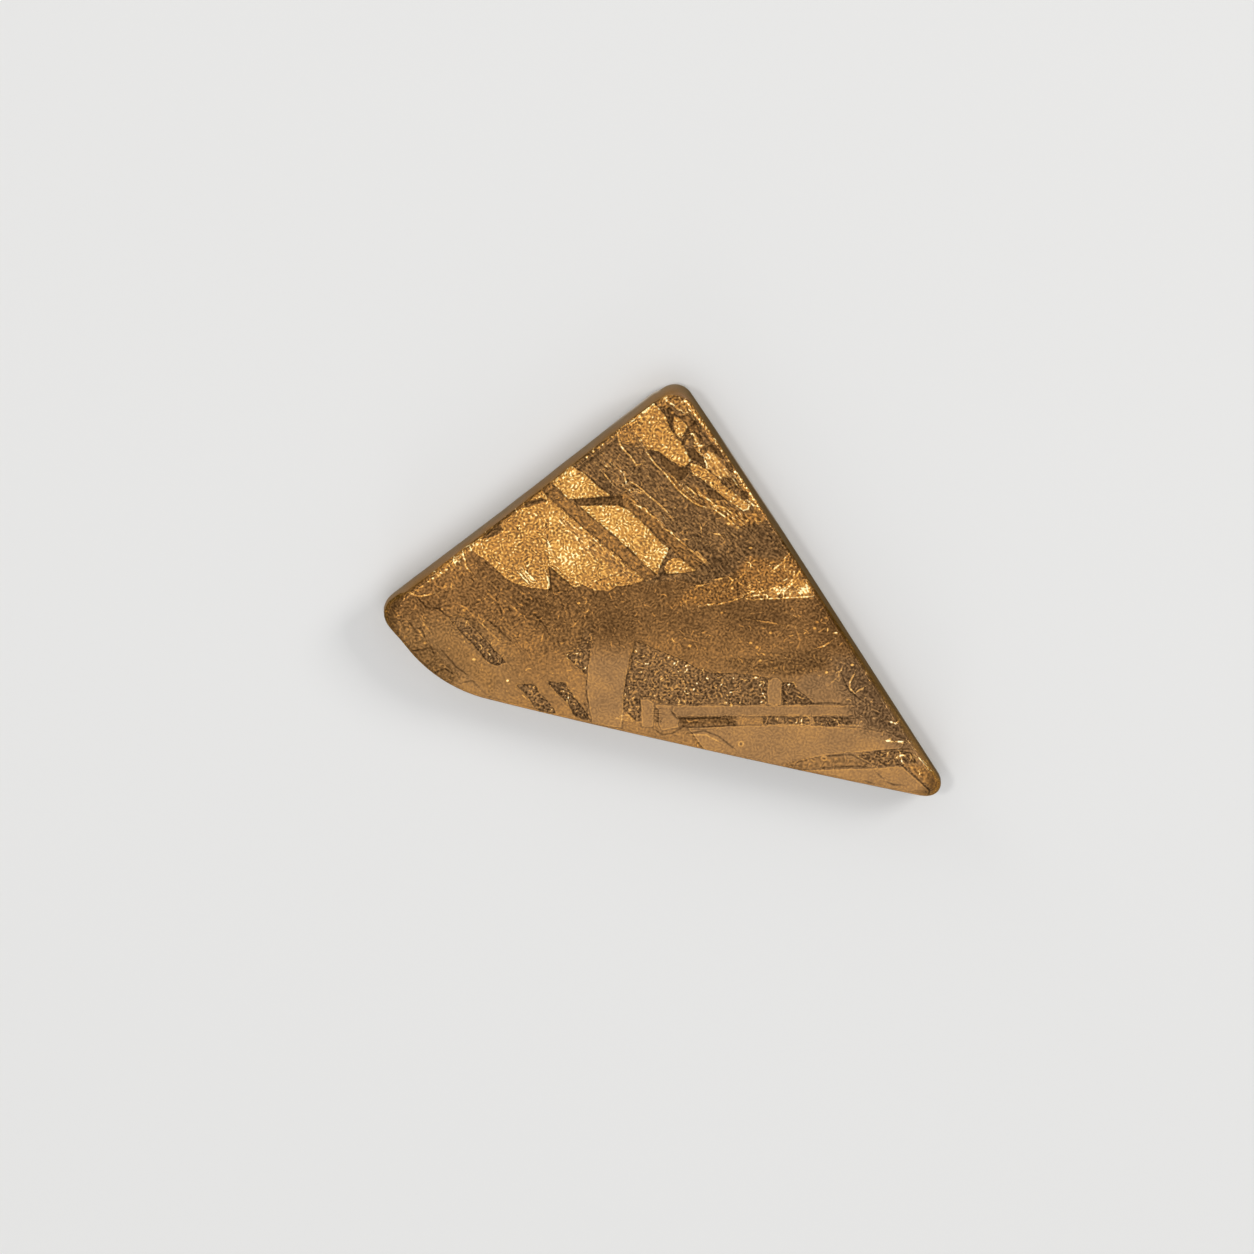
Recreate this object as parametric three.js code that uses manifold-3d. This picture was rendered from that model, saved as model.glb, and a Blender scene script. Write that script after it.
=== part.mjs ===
// A thin slice of an iron meteorite, cut, ground and etched so that its crossing crystal bands show.
// Millimetres, +Z up. The slice lies on its back: the origin is on the back face, under the middle of
// the slice's own box, and the etched face looks up.
import * as THREE from "three";
import { mergeVertices } from "three/addons/utils/BufferGeometryUtils.js";
import Module from "manifold-3d";

// Driving dimensions.
const THICKNESS = 2.72;
const BACK_ARRIS = 0.45; // radius that rounds the lower edge
const FACE_ARRIS = 0.30; // radius that rounds the upper edge along the straight sides
const ARRIS_RISE = 1.1; // most that a rounded edge takes of the wall's height, at the sharp corners
const ARRIS_STEPS = 4;
const ARC_STEP = 0.25; // longest chord on a corner's arc
const SIDE_STEP = 2.6; // longest chord along a side
const FACE_MARGIN = 0.12; // bare rim that the etched fields keep inside the face's edge
const OVERCUT = 1; // how far a cutting prism runs on past what it cuts
const WELD = 1e-5; // points closer than this are one point

// The corners, anticlockwise seen from above: x, y, the fillet of the outer edge, and the fillets of
// the etched face and of the back, which are larger at the sharp corners, where the edge is ground rounder.
// bow is how far the side that follows the corner stands proud of a straight line; below 0 it is hollow.
const CORNERS = [
  { name: "left", x: -17.99, y: -1.25, fillet: 1.17, face: 2.56, back: 2.45, bow: 0.04 },
  { name: "lower left", x: -13.54, y: -6.16, fillet: 9.1, face: 8.9, back: 8.8, bow: 0.17 },
  { name: "right", x: 18.28, y: -13.76, fillet: 0.74, face: 1.08, back: 1.08, bow: 0.08 },
  { name: "top", x: 1.14, y: 13.77, fillet: 1.2, face: 1.5, back: 1.32, bow: -0.05 },
  { name: "shoulder", x: -0.67, y: 12.64, fillet: 3.0, face: 2.6, back: 2.4, bow: -0.03 },
];

// How deep the acid has eaten each kind of field.
const BAND_DEPTH = 0.1;
const ZONE_DEPTH = 0.08;
const SPECKLED_DEPTH = 0.12;
const STRIP_DEPTH = 0.09;

// The etched fields, named by where they lie, with their outlines in the same frame as the corners.
const FIELDS = [
  {
    name: "long dark band", depth: BAND_DEPTH,
    outline: [[-6.95, 7.3], [-6, 6.5], [-5, 5.75], [-3, 4], [-1, 2.05], [-0.3, 1.45], [-1.1, 1.1],
      [-2, 1.95], [-4, 3.75], [-6, 5.5], [-7.1, 6.5], [-7.4, 6.95]],
  },
  {
    name: "link and second dark band", depth: BAND_DEPTH,
    outline: [[-5.75, 6.45], [-3.2, 6.6], [-2.3, 6.85], [-1, 5.8], [0, 4.75], [1, 3.85], [1.9, 2.95],
      [2.6, 2.3], [2.05, 1.75], [1, 2.65], [0, 3.6], [-1, 4.6], [-2.4, 5.9], [-4, 6.05], [-5.15, 5.95]],
  },
  {
    name: "dark zone below the top", depth: ZONE_DEPTH,
    outline: [[-4.9, 8.4], [-2.9, 9.9], [-1.6, 10.1], [-0.9, 9.5], [-0.1, 9.3], [1, 8.4], [1.7, 8.1],
      [3, 7], [3, 5.7], [5, 4.6], [7.2, 3.2], [6.6, 2.75], [5, 2.4], [3.3, 2.2], [1.15, 4.05],
      [-0.85, 6.05], [-2.2, 7.1], [-3.2, 6.85], [-4, 7.4]],
    islands: [
      [[0.1, 8], [0.8, 7.6], [1.3, 7], [2.2, 6.4], [2.55, 5.9], [1.4, 6.6], [0.8, 7.2], [0.5, 7.6]],
    ],
  },
  {
    name: "notch", depth: STRIP_DEPTH,
    outline: [[-7.1, 2.05], [-5.55, 0.55], [-7.05, 0.5]],
  },
  {
    name: "hollow beside the top fields", depth: ZONE_DEPTH,
    outline: [[1.5, 11.4], [2.2, 11.5], [2.6, 10.7], [2.5, 10], [1.9, 10.9], [1.5, 10.7]],
  },
  {
    name: "lens beside the tongue", depth: ZONE_DEPTH,
    outline: [[2.8, 9.9], [3.2, 9.9], [3.8, 9.4], [3.7, 9.2], [3.2, 9.4]],
  },
  {
    name: "groove beside the tongue", depth: ZONE_DEPTH,
    outline: [[1.7, 9.8], [2.4, 9], [2.8, 8.45], [2.4, 8.62], [2, 8.95], [1.6, 9.4]],
  },
  {
    name: "left speckled field", depth: SPECKLED_DEPTH,
    outline: [[-13.4, -1.35], [-12.3, -1.3], [-11.9, -1.9], [-10.8, -3.1], [-9.8, -4.3], [-9.5, -4.6],
      [-10.3, -4.5], [-10.9, -4.3], [-12, -3], [-13, -1.8]],
  },
  {
    name: "leaf-shaped speckled field", depth: SPECKLED_DEPTH,
    outline: [[-8, -1.2], [-6.5, -0.7], [-5, -1], [-4.45, -1.5], [-4.45, -2.5], [-4.8, -5.05],
      [-6, -3.95], [-7, -2.9], [-7.6, -1.9]],
  },
  {
    name: "small slanting field", depth: SPECKLED_DEPTH,
    outline: [[-9.1, -5.8], [-8.1, -5.7], [-7.6, -6.4], [-6.6, -7.7], [-7.7, -7.5], [-8.4, -6.6]],
  },
  {
    name: "second small slanting field", depth: SPECKLED_DEPTH,
    outline: [[-7.2, -5.6], [-6.1, -5.6], [-5.6, -6.5], [-4.6, -7.9], [-5.4, -7.8], [-6.6, -6.3]],
  },
  {
    name: "middle speckled field", depth: SPECKLED_DEPTH,
    outline: [[-1.7, -2.9], [-1, -3.1], [1, -4], [3, -5], [6.6, -5.3], [6.45, -7.05], [0, -7],
      [-0.8, -6.55], [-1.4, -6.6], [-1.4, -8.1], [-2.1, -7.7], [-2.45, -7.3], [-2.3, -5.3], [-1.9, -3.7]],
  },
  {
    name: "right speckled field", depth: SPECKLED_DEPTH,
    outline: [[7.5, -5.6], [8.2, -5.6], [8.35, -6], [9.4, -7.05], [7.5, -7.1]],
  },
  {
    name: "first strip under the level bar", depth: STRIP_DEPTH,
    outline: [[1, -7.95], [4.5, -7.9], [4.5, -8.35], [1.2, -8.4]],
  },
  {
    name: "second strip under the level bar", depth: STRIP_DEPTH,
    outline: [[6.3, -7.9], [9.2, -7.9], [9.2, -8.35], [6.3, -8.35]],
  },
  {
    name: "third strip under the level bar", depth: STRIP_DEPTH,
    outline: [[9.35, -7.9], [12.4, -7.95], [12.2, -8.4], [9.35, -8.4]],
  },
  {
    name: "speckled wedge near the right corner", depth: SPECKLED_DEPTH,
    outline: [[12.3, -10.45], [13.5, -10.2], [15.5, -10.15], [15.9, -10.9], [13.4, -11.15], [12.7, -10.85]],
  },
];

// The arc that rounds one corner of an outline whose sides are moved in by inset. Its radius is read from
// one column of the corner list.
function arcOf(index, inset, column) {
  const here = CORNERS[index];
  const before = CORNERS[(index + CORNERS.length - 1) % CORNERS.length];
  const after = CORNERS[(index + 1) % CORNERS.length];
  const point = new THREE.Vector2(here.x, here.y);
  const toBefore = new THREE.Vector2(before.x, before.y).sub(point).normalize();
  const toAfter = new THREE.Vector2(after.x, after.y).sub(point).normalize();
  const half = Math.acos(toBefore.dot(toAfter)) / 2;
  const inward = toBefore.clone().add(toAfter).normalize();
  const corner = point.clone().addScaledVector(inward, inset / Math.sin(half));
  const radius = here[column];
  const centre = corner.clone().addScaledVector(inward, radius / Math.sin(half));
  const start = corner.clone().addScaledVector(toBefore, radius / Math.tan(half)).sub(centre);
  const sweep = Math.PI - 2 * half;
  const steps = Math.max(3, Math.ceil((sweep * Math.max(here.fillet, here.face)) / ARC_STEP));
  const points = [];
  for (let step = 0; step <= steps; step += 1) {
    const angle = start.angle() + (sweep * step) / steps;
    points.push(new THREE.Vector2(Math.cos(angle), Math.sin(angle)).multiplyScalar(radius).add(centre));
  }
  return points;
}

// A whole outline: every corner's arc, and the bowed side that follows it. Every outline has the same
// number of points, so outlines can be joined in rings.
function outlineOf(inset, column) {
  const arcs = CORNERS.map((corner, index) => arcOf(index, inset, column));
  const points = [];
  CORNERS.forEach((corner, index) => {
    points.push(...arcs[index]);
    const next = CORNERS[(index + 1) % CORNERS.length];
    const steps = Math.ceil(Math.hypot(next.x - corner.x, next.y - corner.y) / SIDE_STEP);
    const from = arcs[index].at(-1);
    const to = arcs[(index + 1) % CORNERS.length][0];
    const along = to.clone().sub(from);
    const outward = new THREE.Vector2(along.y, -along.x).normalize();
    for (let step = 1; step < steps; step += 1) {
      const share = step / steps;
      const proud = corner.bow * 4 * share * (1 - share);
      points.push(from.clone().addScaledVector(along, share).addScaledVector(outward, proud));
    }
  });
  return points;
}

// One ring of the rounded edge: a quarter turn from the flat outline out to the wall.
function edgeRing(flat, wall, turn, up) {
  return flat.map((point, index) => {
    const reach = point.distanceTo(wall[index]);
    const at = point.clone().lerp(wall[index], Math.sin(turn));
    const rise = Math.min(reach, ARRIS_RISE) * (1 - Math.cos(turn));
    return new THREE.Vector3(at.x, at.y, up ? THICKNESS - rise : rise);
  });
}

// The slice before etching: rings from the back's outline out to the wall and in to the face's outline,
// closed by the flat back and the flat face.
function blankGeometry() {
  const wall = outlineOf(0, "fillet");
  const face = outlineOf(FACE_ARRIS, "face");
  const back = outlineOf(BACK_ARRIS, "back");
  const rings = [];
  for (let step = 0; step <= ARRIS_STEPS; step += 1) {
    rings.push(edgeRing(back, wall, (Math.PI / 2) * (step / ARRIS_STEPS), false));
  }
  for (let step = ARRIS_STEPS; step >= 0; step -= 1) {
    rings.push(edgeRing(face, wall, (Math.PI / 2) * (step / ARRIS_STEPS), true));
  }
  const count = wall.length;
  const points = rings.flat();
  const faces = [];
  for (let ring = 0; ring + 1 < rings.length; ring += 1) {
    for (let index = 0; index < count; index += 1) {
      const a = ring * count + index;
      const b = ring * count + ((index + 1) % count);
      faces.push(a, b, b + count, a, b + count, a + count);
    }
  }
  const top = (rings.length - 1) * count;
  for (const [a, b, c] of THREE.ShapeUtils.triangulateShape(back, [])) {
    faces.push(c, b, a);
  }
  for (const [a, b, c] of THREE.ShapeUtils.triangulateShape(face, [])) {
    faces.push(top + a, top + b, top + c);
  }
  const geometry = new THREE.BufferGeometry().setFromPoints(points);
  geometry.setIndex(faces);
  return geometry;
}

// An upright prism over an outline, from a depth below the etched face to a little above it.
function prismGeometry(outline, depth) {
  const shape = new THREE.Shape(outline.map(([x, y]) => new THREE.Vector2(x, y)));
  const geometry = new THREE.ExtrudeGeometry(shape, { depth: depth + OVERCUT, bevelEnabled: false });
  return geometry.translate(0, 0, THICKNESS - depth);
}

const wasm = await Module();
wasm.setup();

function solidOf(geometry) {
  const bare = geometry.clone();
  bare.deleteAttribute("normal");
  bare.deleteAttribute("uv");
  const merged = mergeVertices(bare, WELD);
  return new wasm.Manifold(new wasm.Mesh({
    numProp: 3,
    vertProperties: new Float32Array(merged.attributes.position.array),
    triVerts: new Uint32Array(merged.index.array),
  }));
}

function geometryOf(solid) {
  const mesh = solid.getMesh();
  const geometry = new THREE.BufferGeometry();
  geometry.setAttribute("position", new THREE.BufferAttribute(new Float32Array(mesh.vertProperties), 3));
  geometry.setIndex(new THREE.BufferAttribute(new Uint32Array(mesh.triVerts), 1));
  return geometry;
}

// The fields are sunk into the face one by one, and the bare rim along the face's edge stays.
function etchedGeometry() {
  const bareRim = outlineOf(FACE_ARRIS + FACE_MARGIN, "face").map((point) => point.toArray());
  let slice = solidOf(blankGeometry());
  for (const field of FIELDS) {
    let sunk = solidOf(prismGeometry(field.outline, field.depth));
    sunk = sunk.intersect(solidOf(prismGeometry(bareRim, field.depth + OVERCUT)));
    for (const island of field.islands ?? []) {
      sunk = sunk.subtract(solidOf(prismGeometry(island, field.depth + OVERCUT)));
    }
    slice = slice.subtract(sunk);
  }
  const geometry = geometryOf(slice);
  geometry.computeBoundingBox();
  const middle = geometry.boundingBox.getCenter(new THREE.Vector3());
  geometry.translate(-middle.x, -middle.y, 0);
  geometry.computeVertexNormals();
  return geometry;
}

const etchedIron = new THREE.MeshStandardMaterial({ color: 0xb0803f, roughness: 0.42, metalness: 0.9 });
etchedIron.flatShading = true;

const meteoriteSlice = new THREE.Mesh(etchedGeometry(), etchedIron);
meteoriteSlice.name = "meteorite_slice";

const part = new THREE.Group();
part.name = "iron_meteorite_slice";
part.add(meteoriteSlice);

export default part;
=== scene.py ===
import bpy
import numpy as np
from mathutils import Matrix, Vector
from mathutils.geometry import delaunay_2d_cdt


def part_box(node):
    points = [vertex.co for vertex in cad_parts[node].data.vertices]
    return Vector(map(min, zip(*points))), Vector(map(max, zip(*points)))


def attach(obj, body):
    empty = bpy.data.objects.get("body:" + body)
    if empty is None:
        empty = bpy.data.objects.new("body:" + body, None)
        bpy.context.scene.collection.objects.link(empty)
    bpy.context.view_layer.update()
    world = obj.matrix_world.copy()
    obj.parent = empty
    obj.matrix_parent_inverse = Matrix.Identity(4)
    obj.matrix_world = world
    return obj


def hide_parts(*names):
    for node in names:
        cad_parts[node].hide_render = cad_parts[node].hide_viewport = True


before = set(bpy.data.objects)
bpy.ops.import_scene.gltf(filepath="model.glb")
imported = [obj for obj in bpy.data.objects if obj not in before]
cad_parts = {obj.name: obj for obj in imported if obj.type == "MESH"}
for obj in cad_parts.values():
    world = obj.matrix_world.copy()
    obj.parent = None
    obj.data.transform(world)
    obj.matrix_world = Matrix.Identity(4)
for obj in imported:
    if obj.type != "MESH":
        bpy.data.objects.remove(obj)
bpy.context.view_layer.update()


# The slice: one thin triangular piece of nickel-iron, sawn from a meteorite. Its edges are ground and
# rounded by hand, and its upper face is polished and etched with acid, which brings out the crystal bands.
# Lengths are in millimetres until the mesh is made, and X and Y are the etched face's own.
MM = 0.001
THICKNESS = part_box("meteorite_slice")[1][2] / MM
# How far the rounding of an edge comes in from the wall, along the sides, and how far at most it goes down.
BACK_ARRIS = 0.45
FACE_ARRIS = 0.30
ARRIS_RISE = 1.1
ARRIS_RINGS = 7
WALL_RINGS = 3
EDGE_STEP = 0.11
FACE_STEP = 0.088
BACK_STEP = 0.7
LATTICE_CLEARANCE = 0.62

# The corners, anticlockwise: x, y, the fillets of the wall, of the face and of the back, and how far the
# side after the corner bows out.
CORNERS = np.array([
    (-17.99, -1.25, 1.17, 2.56, 2.45, 0.04),
    (-13.54, -6.16, 9.10, 8.90, 8.80, 0.17),
    (18.28, -13.76, 0.74, 1.08, 1.08, 0.08),
    (1.14, 13.77, 1.20, 1.50, 1.32, -0.05),
    (-0.67, 12.64, 3.00, 2.60, 2.40, -0.03),
])
WALL, FACE, BACK, BOW = 2, 3, 4, 5
ARC_POINTS_MIN = 6


def smooth(low, high, value):
    """Smooth step: 0 below low, 1 above high, 3 t^2 - 2 t^3 between them."""
    t = np.clip((value - low) / (high - low), 0, 1)
    return t * t * (3 - 2 * t)


def border(inset, fillet):
    """Outline of the slice: sides moved in by inset and joined by arcs. Each side bows by 4 t (1 - t) times
    its bow, less where little of it is straight. All outlines have as many points, to join in rings."""
    arcs = []
    for here, before, after in zip(CORNERS, np.roll(CORNERS, 1, axis=0), np.roll(CORNERS, -1, axis=0)):
        back = before[:2] - here[:2]
        ahead = after[:2] - here[:2]
        back /= np.linalg.norm(back)
        ahead /= np.linalg.norm(ahead)
        half = np.arccos(back @ ahead) / 2
        inward = (back + ahead) / np.linalg.norm(back + ahead)
        radius = here[fillet]
        centre = here[:2] + inward * (inset + radius) / np.sin(half)
        start = here[:2] + inward * inset / np.sin(half) + back * radius / np.tan(half) - centre
        length = (np.pi - 2 * half) * max(here[WALL], here[FACE])
        count = max(ARC_POINTS_MIN, int(np.ceil(length / EDGE_STEP)))
        turn = np.arctan2(start[1], start[0]) + np.linspace(0, np.pi - 2 * half, count)
        arcs.append(centre + radius * np.column_stack((np.cos(turn), np.sin(turn))))
    outline = []
    for index, arc in enumerate(arcs):
        after = CORNERS[(index + 1) % len(CORNERS)]
        side = arcs[(index + 1) % len(arcs)][0] - arc[-1]
        whole = np.linalg.norm(after[:2] - CORNERS[index, :2])
        share = np.linspace(0, 1, int(np.ceil(whole / EDGE_STEP)) + 1)[1:-1, None]
        outward = np.array((side[1], -side[0])) / np.linalg.norm(side)
        bow = CORNERS[index, BOW] * smooth(0.1, 0.5, np.linalg.norm(side) / whole)
        outline += [arc, arc[-1] + side * share + outward * bow * 4 * share * (1 - share)]
    return np.vstack(outline)


wall_line = border(0, WALL)
face_line = border(FACE_ARRIS, FACE)
back_line = border(BACK_ARRIS, BACK)
middle = (wall_line.min(axis=0) + wall_line.max(axis=0)) / 2


def distance(x, y, path, closed=True):
    """Distance from each point to a path: the least over its straight pieces. It is positive inside a closed
    path, by counting how often a level ray crosses it, and on the left-hand side of an open one."""
    path = np.asarray(path, dtype=float)
    starts = path if closed else path[:-1]
    ends = np.roll(path, -1, axis=0) if closed else path[1:]
    best = np.full(x.shape, np.inf)
    inside = np.zeros(x.shape, dtype=bool)
    side = np.ones(x.shape)
    for (ax, ay), (bx, by) in zip(starts, ends):
        dx, dy = bx - ax, by - ay
        along = np.clip(((x - ax) * dx + (y - ay) * dy) / (dx * dx + dy * dy), 0, 1)
        gap = np.hypot(x - ax - along * dx, y - ay - along * dy)
        nearer = gap < best
        best = np.where(nearer, gap, best)
        side = np.where(nearer, np.sign(dx * (y - ay) - dy * (x - ax)), side)
        if closed and dy:
            inside ^= ((ay > y) != (by > y)) & (x < ax + (y - ay) * dx / dy)
    return np.where(inside, best, -best) if closed else best * side


def lumps(x, y, size, seed):
    """Seeded value noise from 0 to 1: random values on a square grid of the given size, blended smoothly."""
    count = 64
    grid = np.random.default_rng(seed).random((count, count))
    u, v = x / size, y / size
    i, j = np.floor(u).astype(int), np.floor(v).astype(int)
    s, t = u - i, v - j
    s, t = s * s * (3 - 2 * s), t * t * (3 - 2 * t)
    i, j = i % count, j % count
    next_i, next_j = (i + 1) % count, (j + 1) % count
    near = grid[i, j] * (1 - s) + grid[next_i, j] * s
    far = grid[i, next_j] * (1 - s) + grid[next_i, next_j] * s
    return near * (1 - t) + far * t


def edge_rings(flat, up):
    """Quarter turn from a flat outline out to the wall: out goes with sine, and the rise with 1 - cosine."""
    run = np.linalg.norm(wall_line - flat, axis=1)
    turn = np.linspace(0, np.pi / 2, ARRIS_RINGS)[:, None]
    out = flat + (wall_line - flat) * np.sin(turn)[..., None]
    rise = np.minimum(run, ARRIS_RISE) * (1 - np.cos(turn))
    level = THICKNESS - rise if up else rise
    return np.concatenate((out, level[..., None]), axis=2)


# The wall and its rounded edges are rings, from the back's outline out to the wall and in to the face's.
lower = edge_rings(back_line, False)
upper = edge_rings(face_line, True)[::-1]
share = np.linspace(0, 1, WALL_RINGS + 2)[1:-1, None, None]
rings = np.concatenate((lower, lower[-1] + (upper[0] - lower[-1]) * share, upper))
ring_count, loop_count = rings.shape[:2]


def lattice(outline, step):
    """Points of a triangular lattice that lie inside an outline, clear of it by just over half a step. Every
    fourth point of the outline is near enough for that."""
    low, high = outline.min(axis=0), outline.max(axis=0)
    y, x = np.mgrid[low[1]:high[1]:step * np.sqrt(0.75), low[0]:high[0]:step]
    x[1::2] += step / 2
    x, y = x.ravel(), y.ravel()
    keep = distance(x, y, outline[::4]) > LATTICE_CLEARANCE * step
    return np.column_stack((x[keep], y[keep]))


def fill(outline, inner):
    """Triangles of a Delaunay mesh over an outline and the points inside it, all turning anticlockwise."""
    flat = np.vstack((outline, inner))
    ring = list(range(len(outline)))
    made = delaunay_2d_cdt(flat.tolist(), [], [ring], 1, 1e-9)
    corners = np.array(made[2])
    a, b, c = (flat[corners[:, k]] for k in range(3))
    turn = (b[:, 0] - a[:, 0]) * (c[:, 1] - a[:, 1]) - (b[:, 1] - a[:, 1]) * (c[:, 0] - a[:, 0])
    return np.where(turn[:, None] > 0, corners, corners[:, ::-1])


def renumber(corners, ring_start, inner_start):
    """A filled face's point numbers, moved to its ring and to its own points in the whole mesh."""
    return np.where(corners < loop_count, corners + ring_start, corners - loop_count + inner_start)


# The face and the back are filled with even triangles inside their outlines, and share the rings' points.
face_inner = lattice(face_line, FACE_STEP)
back_inner = lattice(back_line, BACK_STEP)
ring_points = rings.reshape(-1, 3)
face_points = np.column_stack((face_inner, np.full(len(face_inner), THICKNESS)))
back_points = np.column_stack((back_inner, np.zeros(len(back_inner))))
points = np.vstack((ring_points, face_points, back_points))
top_ring = (ring_count - 1) * loop_count
face_start = len(ring_points)
back_start = face_start + len(face_points)
face_corners = renumber(fill(face_line, face_inner), top_ring, face_start)
back_corners = renumber(fill(back_line, back_inner)[:, ::-1], 0, back_start)
ring, at = np.mgrid[:ring_count - 1, :loop_count]
a = ring * loop_count + at
b = ring * loop_count + (at + 1) % loop_count
wall_corners = np.stack((a, b, b + loop_count, a, b + loop_count, a + loop_count), axis=-1).reshape(-1, 3)

# The pattern on the face. Acid leaves each crystal field with its own etch, and the tone of a field is
# partly
# painted reflection: gold is painted where it throws the lamp's light back, and brown is painted shade where
# it doesn't. Speckled where fine iron filled the gaps, and smooth tan in the lower rods.
# tone: place on the palette from dark brown 0 to pale gold 1. spread: how far the grain moves it.
# hue: yellow -1, orange 1. pale: greyer. coarse: broad strokes against fine ones. streak: strokes drawn out
# along the grain. painted_glints: share of bright hairs, which are painted glints. depth: how deep the acid
# went. soft: half the border.
LOOK_PARTS = ("tone", "spread", "hue", "pale", "coarse", "streak", "painted_glints", "depth", "soft")
LOOKS = {
    "zone": (0.445, 0.5, -0.2, 0.45, 0.2, 0.6, 0.35, 0.05, 0.14),
    "dark": (0.39, 0.36, 0, 0.1, 0.3, 0, 0.1, 0.06, 0.05),
    "patch": (0.39, 0.34, 0, 0.1, 0.4, 0.4, 0.1, 0.05, 0.1),
    "band": (0.51, 0.5, 0.2, 0.1, 0.2, 0.6, 0.2, 0.06, 0.05),
    "gold": (0.73, 0.6, 0.2, 0.1, 0.3, 0.1, 0.3, 0, 0.06),
    "pale gold": (0.8, 0.54, 0, 0.1, 0.25, 0.1, 0.25, 0, 0.05),
    "mottled": (0.69, 0.64, 0.2, 0.4, 0.3, 0.8, 0.4, 0, 0.2),
    "dull gold": (0.53, 0.54, 0.5, 0, 0.4, 0.2, 0.9, 0, 0.25),
    "bits": (0.6, 0.62, 0.2, 0.2, 0.4, 0.1, 0.7, 0, 0.09),
    "streaked": (0.56, 0.56, 0.3, 0, 0.3, 1, 0.4, 0.03, 0.3),
    "speckled": (0.46, 0.56, 0, 0.8, 0.5, 0, 0.9, 0.05, 0.13),
    "faint": (0.48, 0.36, 0.1, 0.2, 0.6, 0, 0.5, 0.02, 0.25),
    "olive faint": (0.5, 0.34, -0.7, 0, 0.4, 0.3, 0.4, 0.02, 0.3),
    "rod": (0.615, 0.06, -0.05, 1.25, 0, 0, 0.02, 0, 0.09),
    "olive rod": (0.56, 0.12, -0.5, 0.1, 0, 0, 0.1, 0, 0.3),
    "grey": (0.43, 0.36, -0.25, 1.3, 0.5, 0, 0.4, 0, 0.8),
    "haze": (0.56, 0.1, -0.1, 1.3, 0, 0, 0.05, 0, 0.35),
    "trace": (0.57, 0.24, 0, 0.6, 0.8, 0, 0.2, 0.02, 0.12),
}
# The fields of the lower part, which fade in below the crease, and those with a sharp border.
LOWER = ("speckled", "faint", "olive faint", "haze", "rod", "olive rod")
CRISP = ("band", "dark", "patch", "gold", "pale gold", "speckled", "rod")

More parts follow.
